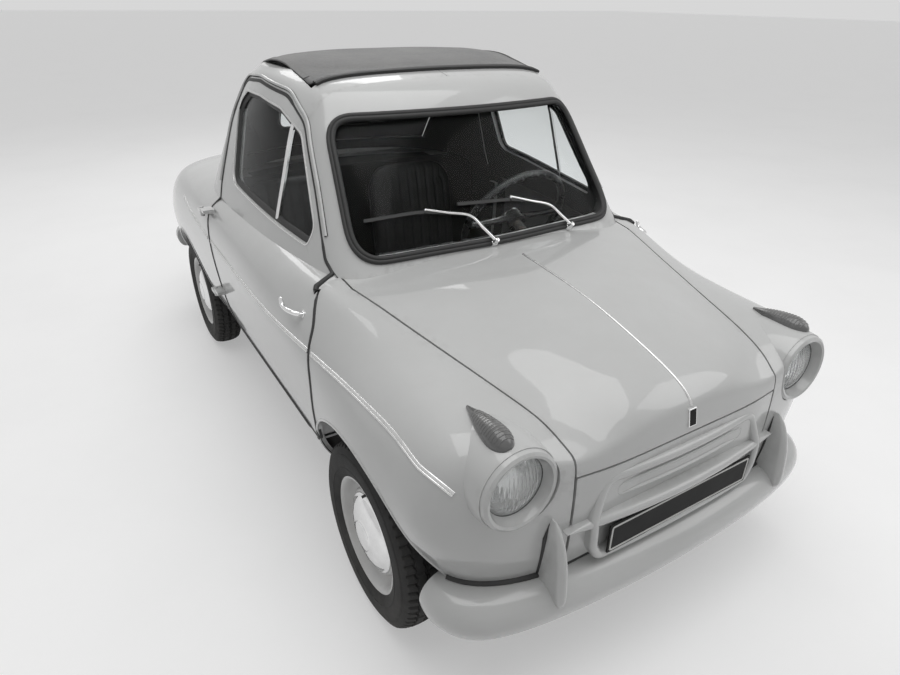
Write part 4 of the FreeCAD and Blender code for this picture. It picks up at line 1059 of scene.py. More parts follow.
class CAR_OT_seals(bpy.types.Operator):
    """Lay the rubber seals round the windscreen, the doors and their windows"""
    bl_idname = "microcar.seals"
    bl_label = "Seals"

    def execute(self, context):
        r = context.scene.car_sizes.seal_r
        skin = Skin("screen_surround", "windscreen", "bonnet_panel", "screen_seal")
        line = corner_path([(-0.440, 0.812), (0.440, 0.812), (0.398, 1.128), (-0.398, 1.128)],
                           [0.066, 0.066, 0.074, 0.074], 12)
        pts, nrm = on_skin([skin.front(p.x, p.y) for p in line])
        bead = [(-r, -0.004), (-r * 0.95, 0.003), (-r * 0.55, 0.0062), (0, 0.0052), (r * 0.12, 0.0035),
                (r * 0.3, 0.0052), (r * 0.75, 0.0055), (r * 1.1, 0.002), (r * 1.1, -0.004)]
        seal = add_mesh("windscreen_seal", *sweep(eased(pts), bead, True, nrm), "seal_rubber", "body", angle=60)
        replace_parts(seal, "screen_seal")

        window = [(0.092, 0.872), (0.130, 1.100), (0.060, 1.146), (-0.060, 1.146), (-0.200, 1.128), (-0.330, 1.080),
                  (-0.430, 0.940), (-0.482, 0.870), (-0.470, 0.826), (-0.300, 0.838)]
        radii = [0.050, 0.060, 0.050, 0.080, 0.100, 0.060, 0.120, 0.040, 0.016, 0.200]
        edge = corner_path(window, radii, 10)
        glazing = [(-0.0100, -0.001), (-0.0095, 0.006), (-0.004, 0.0080), (0.007, 0.003), (0.0095, -0.001)]
        for side, tag in SIDES:
            body = tag + "_door"
            skin = Skin("door_" + tag[0], "door_glass_" + tag[0])
            pts, nrm = on_skin([skin.side(p.x, p.y, side) for p in shifted(edge, -0.004)])
            trim = sweep(eased(pts), strip((0.0026, -0.003), (0.0020, 0.0012), top=0.0020), True, nrm)
            add_mesh(tag + "_window_bright_frame", *trim, "trim_alloy", body, angle=60)
            skin = Skin("door_glass_" + tag[0])
            hits = [skin.side(p.x, p.y, side) for p in shifted(edge, 0.006)]
            add_mesh(tag + "_window_rubber", *laid(hits, glazing, closed=True), "seal_rubber", body, angle=60)
            hits = [skin.side(-0.275 + 0.006 * k / 24, 0.842 + 0.258 * k / 24, side) for k in range(25)]
            bar = laid(hits, strip((0.008, -0.002), (0.008, 0.004), (0.005, 0.0065)), 0.001)
            add_mesh(tag + "_quarter_light_bar", *bar, "bright_trim", body, angle=50)
        return {"FINISHED"}


class CAR_OT_trim(bpy.types.Operator):
    """Lay the twin beads along the sides and the single bead down the bonnet"""
    bl_idname = "microcar.trim"
    bl_label = "Side and bonnet trim"

    def execute(self, context):
        r = context.scene.car_sizes.bead_r
        front = [(-0.549, -1.2755, 0.6010), (-0.5584, -1.2612, 0.6103), (-0.5640, -1.2490, 0.6155),
                 (-0.5692, -1.2355, 0.6195), (-0.5735, -1.2190, 0.6222)]
        track = [(-1.20, 0.6240), (-1.10, 0.6375), (-0.95, 0.6425), (-0.72, 0.644), (-0.45, 0.640),
                 (-0.10, 0.645), (0.20, 0.655), (0.45, 0.672), (0.66, 0.694)]
        fine = smooth_path([(0, y, z) for y, z in track], 14)
        for side, tag in SIDES:
            spans = (("front_wing_" + tag[0], "body", -1.210, -0.713), ("door_" + tag[0], tag + "_door", -0.706, 0.186),
                     ("rear_quarter_" + tag[0], "body", 0.206, 0.66))
            for node, body, y0, y1 in spans:
                skin = Skin(node)
                hits = [skin.side(p.y, p.z, side) for p in fine if y0 <= p.y <= y1]
                if node.startswith("front_wing"):
                    slope = Vector((-side, 1, 0))
                    hits = [skin.hit(Vector((-side * x, y, z)) - slope * 0.5, slope) for x, y, z in front] + hits
                pts, nrm = on_skin(hits)
                lines = [sweep(pts, [(a + shift, b) for a, b in half_round(r * 0.62, r * 0.62, 6)], normals=nrm)
                         for shift in (-r * 0.85, r * 0.85)]
                lines.append(sweep(pts, strip((r * 0.6, -0.002), (r * 0.6, 0.0006)), normals=nrm))
                add_mesh(tag + "_bead_" + node, *join(lines), "trim_alloy", body, angle=50)
        skin = Skin("bonnet_panel")
        hits = [skin.top(0, y) for y in spaced(-0.745, -1.332, 0.012)]
        hits += [skin.front(0, z) for z in spaced(0.668, 0.652, 0.006)]
        bead = laid(hits, half_round(0.0034, 0.0030, 8))
        add_mesh("bonnet_centre_bead", *bead, "trim_alloy", "body", angle=60)
        return {"FINISHED"}


class CAR_OT_lamps(bpy.types.Operator):
    """Fit reflectors, bulbs, fluted lenses and gaskets in the headlamps, and ribs on the turn signals"""
    bl_idname = "microcar.lamps"
    bl_label = "Lamps"

    def execute(self, context):
        tilt = Vector((0, -1, 0.04)).normalized()
        for side, tag in SIDES:
            centre = Vector((side * 0.438, -1.342, 0.603))
            bowl = [(-0.0296, 0.0645), (-0.0360, 0.0617), (-0.0425, 0.0612), (-0.048, 0.0572), (-0.060, 0.0505),
                    (-0.075, 0.0405), (-0.088, 0.027), (-0.0955, 0.012), (-0.0965, 0.0)]
            add_mesh(tag + "_headlamp_reflector", *lathe(bowl, centre, tilt, 64), "lamp_mirror", "body")
            bulb = [(-0.0960, 0.010), (-0.082, 0.010), (-0.080, 0.007), (-0.072, 0.0085), (-0.064, 0.007),
                    (-0.060, 0.0)]
            add_mesh(tag + "_headlamp_bulb", *lathe(bulb, centre, tilt, 24), "bright_trim", "body", angle=40)
            verts = []
            axis_side = tilt.cross(Vector((0, 0, 1))).normalized()
            axis_up = axis_side.cross(tilt).normalized()
            rings, count, lens_r = 28, 128, 0.0665
            for layer in (0, 1):
                for k in range(rings + 1):
                    rad = lens_r * k / rings
                    for i in range(count):
                        a = 2 * math.pi * i / count
                        x, z = rad * math.cos(a), rad * math.sin(a)
                        dome = -0.0262 + 0.0165 * (1 - (rad / lens_r) ** 2)
                        if layer == 1:
                            bend = x * (1 + 2.2 * (z / 0.062) ** 2 * 0.12)
                            flute = 0.5 + 0.5 * math.cos(bend * 2 * math.pi / 0.0095)
                            fade = max(0.0, 1 - (rad / (lens_r * 0.93)) ** 8)
                            dome -= 0.0032 + 0.0020 * flute * fade
                        verts.append(centre + tilt * dome + axis_side * x + axis_up * z)
            shell, base, rim = ring_faces(rings + 1, count), (rings + 1) * count, rings * count
            faces = shell + [tuple(n + base for n in face) for face in shell]
            for i in range(count):
                j = (i + 1) % count
                faces.append((rim + i, rim + j, base + rim + j, base + rim + i))
            lens = add_mesh(tag + "_headlamp_lens", verts, faces, "lens_glass", "body", angle=60)
            bm = bmesh.new()
            bm.from_mesh(lens.data)
            bmesh.ops.remove_doubles(bm, verts=bm.verts, dist=1e-6)
            bmesh.ops.recalc_face_normals(bm, faces=bm.faces)
            bm.to_mesh(lens.data)
            bm.free()
            if side < 0:
                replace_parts(lens, "headlamp_lenses")
            gasket = lathe([(-0.0285, 0.0668), (-0.0250, 0.0682), (-0.0238, 0.0668), (-0.0250, 0.0650),
                            (-0.0282, 0.0648)],
                           centre, tilt, 64, True)
            add_mesh(tag + "_headlamp_gasket", *gasket, "seal_rubber", "body")
        skin = Skin("turn_signals")
        low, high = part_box("turn_signals")
        ribs = []
        for side in (-1, 1):
            for y in spaced(low.y + 0.012, high.y - 0.035, 0.0075):
                hits = [skin.top(side * x, y) for x in spaced(low.x, -0.30, 0.003)]
                hits = [h for h in hits if h is not None and h[1].z > 0.25]
                if len(hits) > 4:
                    ribs.append(laid(hits, half_round(0.0016, 0.0011, 5, 0.0006)))
        add_mesh("turn_signal_ribs", *join(ribs), "lamp_plastic", "body", angle=60)
        return {"FINISHED"}


class CAR_OT_nose(bpy.types.Operator):
    """Round the nose ring, its bar and its panel, shape the guards, and add the bare plaque and plate borders"""
    bl_idname = "microcar.nose"
    bl_label = "Nose and plates"

    def nose_ring(self):
        corners = [(-0.250, 0.354), (0.250, 0.354), (0.272, 0.398), (0.275, 0.470), (0.238, 0.566), (-0.238, 0.566),
                   (-0.275, 0.470), (-0.272, 0.398)]
        outline = corner_path(corners, [0.034, 0.034, 0.05, 0.08, 0.055, 0.055, 0.08, 0.05], 10)
        path = []
        for q in shifted(outline, 0.0120):
            rise = min(1.0, max(0.0, (q.y - 0.44) / 0.12))
            y = -1.3838 + (0.008 + 0.010 * rise) * (q.x / 0.27) ** 2 + max(0.0, q.y - 0.46) * 0.13
            path.append(Vector((q.x, y, q.y)))
        band = strip((0.0115, -0.050), (0.0115, -0.0070), (0.0103, -0.0030), (0.0072, 0.0004), (0.0028, 0.0022))
        return sweep(path, band, True, [Vector((0, -1, 0))] * len(path))

    def nose_bar(self):
        """The bar through the ring, which ends in points beside it."""
        skin = Skin("nose_panel", "bonnet_panel", "front_wing_r", "front_wing_l")
        verts, steps = [], 60
        ring = ((1.0, 1.0), (0.94, 0.62), (0.72, 0.22), (0.30, 0.0), (-0.30, 0.0), (-0.72, 0.22), (-0.94, 0.62),
                (-1.0, 1.0))
        for i in range(steps + 1):
            x = 0.332 * math.sin(math.pi * (i / steps - 0.5))
            u = abs(x) / 0.332
            h = 0.0118 * (1 - 0.96 * max(0.0, (u - 0.72) / 0.28) ** 1.5)
            front = -1.3915 + 0.025 * (x / 0.32) ** 2
            got = skin.front(x, 0.4615)
            rear = got[0].y + 0.006 if got else front + 0.045
            row = [(h, rear)] + [(h * a, front + h * b) for a, b in ring] + [(-h, rear)]
            verts.extend(Vector((x, y, 0.4615 + z)) for z, y in row)
        size = len(ring) + 2
        return verts, ring_faces(steps + 1, size) + end_caps(steps + 1, size)

    def nose_field(self):
        """The dished panel above the bar, in place of a grille."""
        verts, steps, rows, half, tall = [], 72, 36, 0.202, 0.0190
        for i in range(steps + 1):
            x = half * 0.9995 * math.sin(math.pi * (i / steps - 0.5))
            over = max(0.0, abs(x) - (half - tall))
            reach = math.sqrt(max(1e-7, tall * tall - over * over))
            face = -1.3690 + 0.016 * (x / 0.27) ** 2
            column = [(-1.0, -1.336)]
            for j in range(rows + 1):
                v = 2 * j / rows - 1
                edge = tall - math.hypot(over, v * reach)
                lip = 0.004 * max(0.0, 1 - edge / 0.003) ** 2
                dish = min(1.0, max(0.0, (edge - 0.0045) / 0.0035))
                column.append((v, face + lip + 0.0052 * dish * dish * (3 - 2 * dish)))
            column.append((1.0, -1.336))
            verts.extend(Vector((x, y, 0.5160 + v * reach)) for v, y in column)
        size = rows + 3
        return verts, ring_faces(steps + 1, size, closed=False) + end_caps(steps + 1, size)

    def guards(self):
        """The bumper guards as fins that taper toward their ends."""
        skin = Skin("nose_panel", "front_wing_r", "front_wing_l")
        edge = smooth_path([(0.0020, -1.3560, 0.5050), (0.0065, -1.3740, 0.4860), (0.0100, -1.3905, 0.4520),
                            (0.0125, -1.4010, 0.4100), (0.0135, -1.4065, 0.3640), (0.0130, -1.4080, 0.3350),
                            (0.0105, -1.4060, 0.3150), (0.0065, -1.3990, 0.3030)], 5)
        parts = []
        for side in (-1, 1):
            verts = []
            for t, front, z in edge:
                got = skin.front(side * GUARD_X, z) if z > 0.352 else None
                rear = max(got[0].y + 0.010 if got else -1.330, front + 0.006)
                half = [(t, rear), (t, front + t * 1.3), (t * 0.82, front + t * 0.6), (t * 0.45, front + t * 0.14)]
                verts.extend(Vector((side * GUARD_X + x, y, z)) for x, y in strip(*half, top=front))
            parts.append((verts, ring_faces(len(edge), 9) + end_caps(len(edge), 9)))
        return join(parts)

    def execute(self, context):
        skin = Skin("bonnet_panel", "nose_panel")
        a, b = skin.front(0, 0.648), skin.front(0, 0.606)
        mid, along = (a[0] + b[0]) / 2, (a[0] - b[0]).normalized()
        normal = (a[1] + b[1]).normalized()
        turn = Matrix((along.cross(normal).normalized(), along, normal)).transposed()
        for name, low, high, bevel, material in (
                ("bonnet_plaque", (-0.012, -0.021, -0.004), (0.012, 0.021, 0.0045), 0.0014, "bright_trim"),
                ("bonnet_plaque_field", (-0.0095, -0.0185, 0.0035), (0.0095, 0.0185, 0.0052), 0.0006, "plate_black")):
            verts, faces = block_part(low, high, bevel)
            add_mesh(name, [mid + turn @ v for v in verts], faces, material, "body", angle=40)
        nose = join([self.nose_ring(), self.nose_bar(), self.nose_field()])
        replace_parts(add_mesh("nose_ring_rounded", *nose, "body_paint", "body", angle=42), "nose_ring")
        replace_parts(add_mesh("bumper_guard_fins", *self.guards(), "body_paint", "body", angle=38), "bumper_guards")
        for node, sign, name in (("plate_front", -1, "front"), ("plate_rear", 1, "rear")):
            low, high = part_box(node)
            y = low.y if sign < 0 else high.y
            body = "body" if sign < 0 else "engine_cover"
            line = corner_path([(low.x + 0.006, low.z + 0.006), (high.x - 0.006, low.z + 0.006),
                                (high.x - 0.006, high.z - 0.006), (low.x + 0.006, high.z - 0.006)], [0.006] * 4, 5)
            border = sweep([Vector((p.x, y, p.y)) for p in line], strip((0.0022, -0.0006), (0.0022, 0.0010)), True,
                           [Vector((0, sign, 0))] * len(line))
            add_mesh(name + "_plate_border", *border, "plate_pale", body, angle=40)
        return {"FINISHED"}


class CAR_OT_body_edges(bpy.types.Operator):
    """Add the sill panels, roll the wheel arch lips, raise the drip rails and line the door gaps with black rubber,
    laid wide so that it also paints the gaps' shade
    """
    bl_idname = "microcar.body_edges"
    bl_label = "Body edges"

    def execute(self, context):
        door = [(0.190, 0.346), (0.190, 0.560), (0.192, 0.700), (0.204, 0.770), (0.212, 0.840), (0.196, 1.040),
                (0.110, 1.172), (-0.040, 1.182), (-0.214, 1.160), (-0.330, 1.104), (-0.440, 0.960), (-0.553, 0.804),
                (-0.617, 0.763), (-0.686, 0.692), (-0.728, 0.570), (-0.700, 0.430), (-0.664, 0.346)]
        radii = [0.05, 0, 0.06, 0.06, 0.06, 0.12, 0.09, 0.16, 0.16, 0.12, 0.2, 0.08, 0.06, 0.08, 0.12, 0.16, 0.03]
        edge = corner_path(door, radii, 8)
        sill = [(0.541, 0.2445), (0.547, 0.250), (0.560, 0.270), (0.5755, 0.300), (0.5835, 0.320), (0.589, 0.335),
                (0.5905, 0.3405), (0.5875, 0.3425), (0.572, 0.3425), (0.560, 0.300), (0.540, 0.265), (0.527, 0.2455)]
        for side, tag in SIDES:
            t = tag[0]
            verts = [Vector((side * x, y, z)) for y in (-0.6055, 0.108) for x, z in sill]
            faces = ring_faces(2, len(sill)) + end_caps(2, len(sill))
            add_mesh(tag + "_sill_panel", verts, faces, "body_paint", "body", angle=40)
            lips = []
            for node, y, r, start, end in (("front_wing_" + t, FRONT_AXLE, 0.3022, -8, 176),
                                           ("rear_quarter_" + t, REAR_AXLE, 0.2882, 2, 178)):
                skin = Skin(node)
                angles = [math.radians(start + (end - start) * k / 60) for k in range(61)]
                hits = [skin.side(y - r * math.cos(a), HUB_Z + r * math.sin(a), side) for a in angles]
                hits = [h for h in hits if h is not None and abs(h[0].x) > 0.45]
                lips.append(laid(hits, round_profile(0.0042, 0.0034, 8), -0.0008))
            add_mesh(tag + "_wheel_arch_lips", *join(lips), "body_paint", "body", angle=60)

            skin = Skin("screen_surround", "rear_quarter_" + t, "bonnet_panel", "front_wing_" + t)
            hits = [skin.side(q.x, q.y, side) for q in shifted(edge, -0.0165) if q.y > 0.845 and q.x > -0.58]
            hits = [h for h in hits if h is not None and abs(h[0].x) > 0.30]
            gutter = [(-0.0055, -0.003), (-0.0050, 0.0025), (-0.0020, 0.0062), (0.0022, 0.0062), (0.0050, 0.0030),
                      (0.0060, -0.003)]
            add_mesh(tag + "_drip_rail", *laid(hits, gutter), "body_paint", "body", angle=50)

            inner = Skin("door_" + t)
            outer = Skin("rear_quarter_" + t, "front_wing_" + t, "screen_surround", "bonnet_panel")
            line, normals, n = [], [], len(edge)
            for i, p in enumerate(edge):
                d = (edge[(i + 1) % n] - edge[i - 1]).normalized()
                out = Vector((d.y, -d.x))
                a = inner.side(p.x - out.x * 0.006, p.y - out.y * 0.006, side)
                b = outer.side(p.x + out.x * 0.013, p.y + out.y * 0.013, side)
                if a is None:
                    continue
                if b is None or abs(b[0].x) < abs(a[0].x) - 0.03:
                    b = a
                mid = (a[0] + b[0]) / 2
                line.append(Vector((mid.x, p.x + out.x * 0.0035, p.y + out.y * 0.0035)) - a[1] * 0.0002)
                normals.append(a[1])
            # The gap is narrower beside the windscreen post
            slim = [0.62 if q.y < -0.25 and q.z > 0.84 else 1.0 for q in line]
            # Partly painted shade: a rubber seal, laid wider than the gap and over the body's edge so that its black
            # also stands for the shade in the door gap
            tube = sweep(line, strip((0.0052, -0.010), (0.0052, 0.0006), (0.0032, 0.0024)), True, normals, slim)
            add_mesh(tag + "_door_gap_rubber", *tube, "seal_rubber", "body", angle=60)
        return {"FINISHED"}


class CAR_OT_wipers(bpy.types.Operator):
    """Make the two wipers with their spindles, sprung arms and rubber blades"""
    bl_idname = "microcar.wipers"
    bl_label = "Wipers"

    def execute(self, context):
        skin = Skin("windscreen")
        sets = (((-0.038, -0.660, 0.806), (-0.089, -0.615, 0.880), (-0.215, -0.584, 0.9075),
                 ((-0.384, 0.892), (-0.300, 0.895), (-0.213, 0.894), (-0.106, 0.879))),
                ((0.243, -0.650, 0.804), (0.193, -0.614, 0.870), (0.061, -0.594, 0.9085),
                 ((-0.113, 0.903), (-0.013, 0.898), (0.061, 0.893), (0.108, 0.886))))
        bright, dark = [], []
        for foot, elbow, end, blade in sets:
            foot, elbow, end = Vector(foot), Vector(elbow), Vector(end)
            up = Vector((0, -0.75, 0.62)).normalized()
            bright.append(lathe([(-0.016, 0.0115), (0.004, 0.0115), (0.006, 0.0095), (0.008, 0.0095), (0.009, 0.0078),
                                 (0.0215, 0.0074), (0.0245, 0.0055), (0.0255, 0.0)], foot, up, 24))
            head = foot + up * 0.016
            arm = smooth_path([head, head.lerp(elbow, 0.5) - Vector((0, 0.004, 0)), elbow, elbow.lerp(end, 0.5), end],
                              8)
            scales = taper(1.0, 0.45, len(arm))
            bright.append(sweep(arm, round_profile(0.0052, 0.0036, 8), normals=[up] * len(arm), scales=scales))
            curve = smooth_path([(x, 0, z) for x, z in blade], 8)
            pts, nrm = on_skin([skin.front(p.x, p.z) for p in curve])
            count = len(pts)
            high = [p + n * (0.0125 - 0.004 * abs(2 * k / (count - 1) - 1)) for k, (p, n) in enumerate(zip(pts, nrm))]
            dark.append(sweep(high, strip((0.0052, -0.0016), (0.0046, 0.0018)), normals=nrm))
            dark.append(sweep(pts, strip((0.0007, 0.0004), (0.0009, 0.0030), (0.0034, 0.0044), (0.0034, 0.0080)),
                              normals=nrm))
            seat = min(range(count), key=lambda k: (pts[k] - end).length)
            dark.append(rod_part(high[seat] + nrm[seat] * 0.005, high[seat], 0.0040, 10))
            bright.append(rod_part(end, high[seat] + nrm[seat] * 0.002, 0.0030, 10))
        arms = add_mesh("wiper_arms", *join(bright), "bright_trim", "body", angle=45)
        add_mesh("wiper_blades", *join(dark), "seal_rubber", "body", angle=45)
        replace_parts(arms, "wipers")
        return {"FINISHED"}


class CAR_OT_handles(bpy.types.Operator):
    """Shape the curved door levers with their escutcheons"""
    bl_idname = "microcar.handles"
    bl_label = "Door handles"

    def execute(self, context):
        lever = [(-0.590, -0.6275, 0.7055), (-0.606, -0.627, 0.712), (-0.616, -0.619, 0.7155), (-0.623, -0.600, 0.7165),
                 (-0.6275, -0.582, 0.7225), (-0.6265, -0.574, 0.7370)]
        path = smooth_path(lever, 8)
        scales = taper(1.45, 0.6, len(path))
        tip = path[-1]
        base = Vector((-0.589, -0.6275, 0.705))
        out = Vector((-0.84, -0.10, 0.53)).normalized()
        parts = [sweep(path, round_profile(0.0064, 0.0056, 12), scales=scales)]
        parts.append(lathe([(-0.005, 0.0), (-0.0047, 0.002), (-0.003, 0.0043), (0, 0.0052), (0.003, 0.0043),
                            (0.0047, 0.002), (0.005, 0.0)],
                           tip, (0, 0.2, 1), 16))
        parts.append(lathe([(-0.012, 0.0095), (0.004, 0.0095), (0.007, 0.0080), (0.008, 0.0)], base, out, 24))
        cup = lathe([(-0.014, 0.0185), (-0.004, 0.0185), (0.000, 0.0165), (0.000, 0.0)], base, out, 28)
        for side, tag in SIDES:
            shape, ring = join(parts), cup
            if side > 0:
                shape, ring = mirror_part(shape), mirror_part(ring)
            lever_obj = add_mesh(tag + "_door_lever", *shape, "bright_trim", tag + "_door", angle=50)
            add_mesh(tag + "_door_lever_cup", *ring, "seal_rubber", tag + "_door", angle=50)
            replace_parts(lever_obj, "door_handle_" + tag[0])
        return {"FINISHED"}


class CAR_OT_cabin(bpy.types.Operator):
    """Fit out the cabin: dials, wheel spokes and grips, levers, pedals, floor mats and door cards"""
    bl_idname = "microcar.cabin"
    bl_label = "Cabin"

    def execute(self, context):
        self.dashboard()
        self.steering()
        self.levers()
        self.mats()
        self.door_cards()
        return {"FINISHED"}

    def dashboard(self):
        low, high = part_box("dashboard")
        face = high.y
        axis = Vector((0, 1, 0))
        spot = Vector((0.205, face, 0.702))
        bezel = lathe([(-0.004, 0.036), (0.006, 0.0365), (0.009, 0.0345), (0.0085, 0.0325), (0.003, 0.0320)],
                      spot, axis, 40)
        knobs = [rod_part(Vector((x, face - 0.002, z)), Vector((x, face + 0.018, z)), 0.0075, 16, 0.0095)
                 for x, z in ((-0.06, 0.700), (-0.02, 0.700), (0.02, 0.700), (0.34, 0.700))]
        lip = [Vector((x, face - 0.006, low.z + 0.004)) for x in spaced(low.x + 0.03, high.x - 0.03, 0.05)]
        lip = sweep(lip, round_profile(0.006, 0.004, 8), normals=[axis] * len(lip))
        add_mesh("dashboard_bezel_and_lip", *join([bezel, lip]), "bright_trim", "body", angle=40)
        add_mesh("speedometer_dial", *lathe([(-0.002, 0.0335), (0.0032, 0.0335), (0.0034, 0.0)], spot, axis, 40),
                 "dial", "body", angle=40)
        marks = []
        for k in range(9):
            a = math.radians(-130 + 32.5 * k)
            out = Vector((math.sin(a), 0, math.cos(a)))
            marks.append(rod_part(spot + axis * 0.0035 + out * 0.024, spot + axis * 0.0035 + out * 0.030, 0.0007, 6))
        pivot = spot + axis * 0.0045
        marks.append(rod_part(pivot, pivot + Vector((-0.016, 0, -0.013)), 0.0010, 6, 0.0004))
        marks.append(rod_part(spot + axis * 0.0030, spot + axis * 0.0065, 0.0035, 14))
        add_mesh("dial_marks_and_knobs", *join(marks + knobs), "wheel_plastic", "body", angle=40)

    def steering(self):
        mid, lean, across = STEERING_HUB, STEERING_AXIS, Vector((1, 0, 0))
        up = lean.cross(across).normalized()
        button = lathe([(0.012, 0.034), (0.018, 0.0335), (0.0215, 0.0300), (0.0225, 0.0230), (0.0255, 0.0210),
                        (0.0285, 0.0120), (0.0290, 0.0)], mid, lean, 40)
        blades = []
        steps = 12
        for side in (-1, 1):
            path = [mid + across * side * (0.030 + 0.158 * k / steps)
                    + lean * (0.0085 - 0.006 * math.sin(math.pi * k / steps)) for k in range(steps + 1)]
            blades.append(sweep(path, round_profile(0.0125, 0.0042, 12), normals=[lean] * len(path),
                                scales=taper(1.25, 0.5, len(path))))
        add_mesh("steering_wheel_spokes_and_button", *join([button] + blades), "bright_trim", "steering", angle=50)
        grips = []
        for k in range(40):
            a = 2 * math.pi * (k + 0.5) / 40
            out = across * math.cos(a) + up * math.sin(a)
            centre = mid + out * 0.190 - lean * 0.0075
            grips.append(lathe([(-0.0055, 0.0), (-0.0045, 0.0070), (0, 0.0088), (0.0045, 0.0070), (0.0055, 0.0)],
                               centre, lean.cross(out), 10))
        add_mesh("steering_wheel_finger_grips", *join(grips), "wheel_plastic", "steering", angle=60)

    def levers(self):
        lever = smooth_path([(0.006, -0.128, 0.314), (0.008, -0.131, 0.40), (0.014, -0.139, 0.478)], 6)
        brake = smooth_path([(-0.032, 0.085, 0.318), (-0.032, 0.02, 0.352), (-0.032, -0.075, 0.392)], 6)
        metal = [sweep(lever, round_profile(0.0055, count=10)), sweep(brake, round_profile(0.008, count=10))]
        gaiter = lathe([(0.0, 0.034), (0.010, 0.030), (0.014, 0.033), (0.024, 0.023), (0.028, 0.026), (0.038, 0.014),
                        (0.044, 0.007)], (0.006, -0.128, 0.313), (0, 0, 1), 24)
        knob = lathe([(-0.016, 0.0), (-0.014, 0.008), (-0.004, 0.0165), (0.006, 0.0165), (0.014, 0.009), (0.017, 0.0)],
                     (0.0145, -0.140, 0.486), (0.08, -0.12, 1), 24)
        grip = rod_part(brake[-5], brake[-1] + (brake[-1] - brake[-2]).normalized() * 0.004, 0.0125, 14, 0.0105)
        pedals = []
        for x in (0.195, 0.262, 0.330):
            pedals.append(rod_part(Vector((x, -0.640, 0.470)), Vector((x, -0.606, 0.365)), 0.006, 10))
            verts, faces = block_part((-0.026, -0.006, -0.030), (0.026, 0.006, 0.030), 0.003)
            turn = Matrix.Translation((x, -0.603, 0.355)) @ Matrix.Rotation(math.radians(-28), 4, "X")
            pedals.append(([turn @ v for v in verts], faces))
        add_mesh("gear_and_brake_levers", *join(metal), "bright_trim", "body", angle=50)
        add_mesh("gaiter_knobs_and_pedals", *join([gaiter, knob, grip] + pedals), "seal_rubber", "body", angle=45)

    def mats(self):
        mats = []
        for side in (-1, 1):
            x0, x1, y0, y1 = 0.078, 0.452, -0.625, -0.135
            outline = corner_path([(x0, y0), (x1, y0), (x1, y1), (x0, y1)], [0.03] * 4, 5)
            low_z, high_z = 0.2545, 0.2590
            m = len(outline)
            ring = [Vector((side * p.x, p.y, z)) for z in (low_z, high_z) for p in outline]
            faces = ring_faces(2, m) + [tuple(range(m, 2 * m)), tuple(reversed(range(m)))]
            mats.append((ring, faces))
            for x in spaced(x0 + 0.03, x1 - 0.03, 0.018):
                path = [Vector((side * x, y, high_z)) for y in spaced(y0 + 0.03, y1 - 0.03, 0.1)]
                mats.append(sweep(path, half_round(0.0035, 0.0022, 4, 0.0005), normals=[Vector((0, 0, 1))] * len(path)))
        add_mesh("floor_mats", *join(mats), "mat_rubber", "body", angle=40)

    def door_cards(self):
        for side, tag in SIDES:
            skin = Skin("door_" + tag[0])
            rows, cols = 16, 30
            grid, faces = [], []
            for layer in (0, 1):
                for j in range(rows + 1):
                    for i in range(cols + 1):
                        u, v = i / cols, j / rows
                        y = -0.585 + 0.715 * u
                        z = 0.395 + 0.345 * v
                        got = skin.hit((0, y, z), (side, 0, 0))
                        x = got[0].x if got and abs(got[0].x) > 0.45 else side * 0.565
                        edge = min(u, 1 - u, v, 1 - v)
                        puff = 0.0025 + 0.006 * min(1.0, edge / 0.12) ** 0.5
                        groove = 0.003 * math.exp(-((v - 0.55) / 0.02) ** 2) * (1 if edge > 0.05 else 0)
                        grid.append(Vector((x - side * (puff - groove if layer else 0.0006), y, z)))
            size = (rows + 1) * (cols + 1)
            for layer in (0, 1):
                for j in range(rows):
                    for i in range(cols):
                        a = layer * size + j * (cols + 1) + i
                        faces.append((a, a + 1, a + cols + 2, a + cols + 1))
            border = grid_border(rows, cols)
            for k, a in enumerate(border):
                b = border[(k + 1) % len(border)]
                faces.append((a, b, b + size, a + size))
            add_mesh(tag + "_door_card", grid, faces, "door_card", tag + "_door", angle=50)
            x = side * 0.552
            winder = [rod_part((x + side * 0.012, -0.26, 0.610), (x - side * 0.016, -0.26, 0.610), 0.011, 20),
                      rod_part((x - side * 0.012, -0.26, 0.610), (x - side * 0.014, -0.335, 0.585), 0.0055, 12, 0.0045),
                      rod_part((x - side * 0.012, -0.337, 0.5845), (x - side * 0.040, -0.337, 0.5845), 0.0075, 14),
                      rod_part((x + side * 0.012, -0.50, 0.665), (x - side * 0.018, -0.50, 0.665), 0.009, 16),
                      rod_part((x - side * 0.015, -0.50, 0.665), (x - side * 0.018, -0.42, 0.668), 0.0050, 12)]
            add_mesh(tag + "_winder_and_latch", *join(winder), "bright_trim", tag + "_door", angle=45)


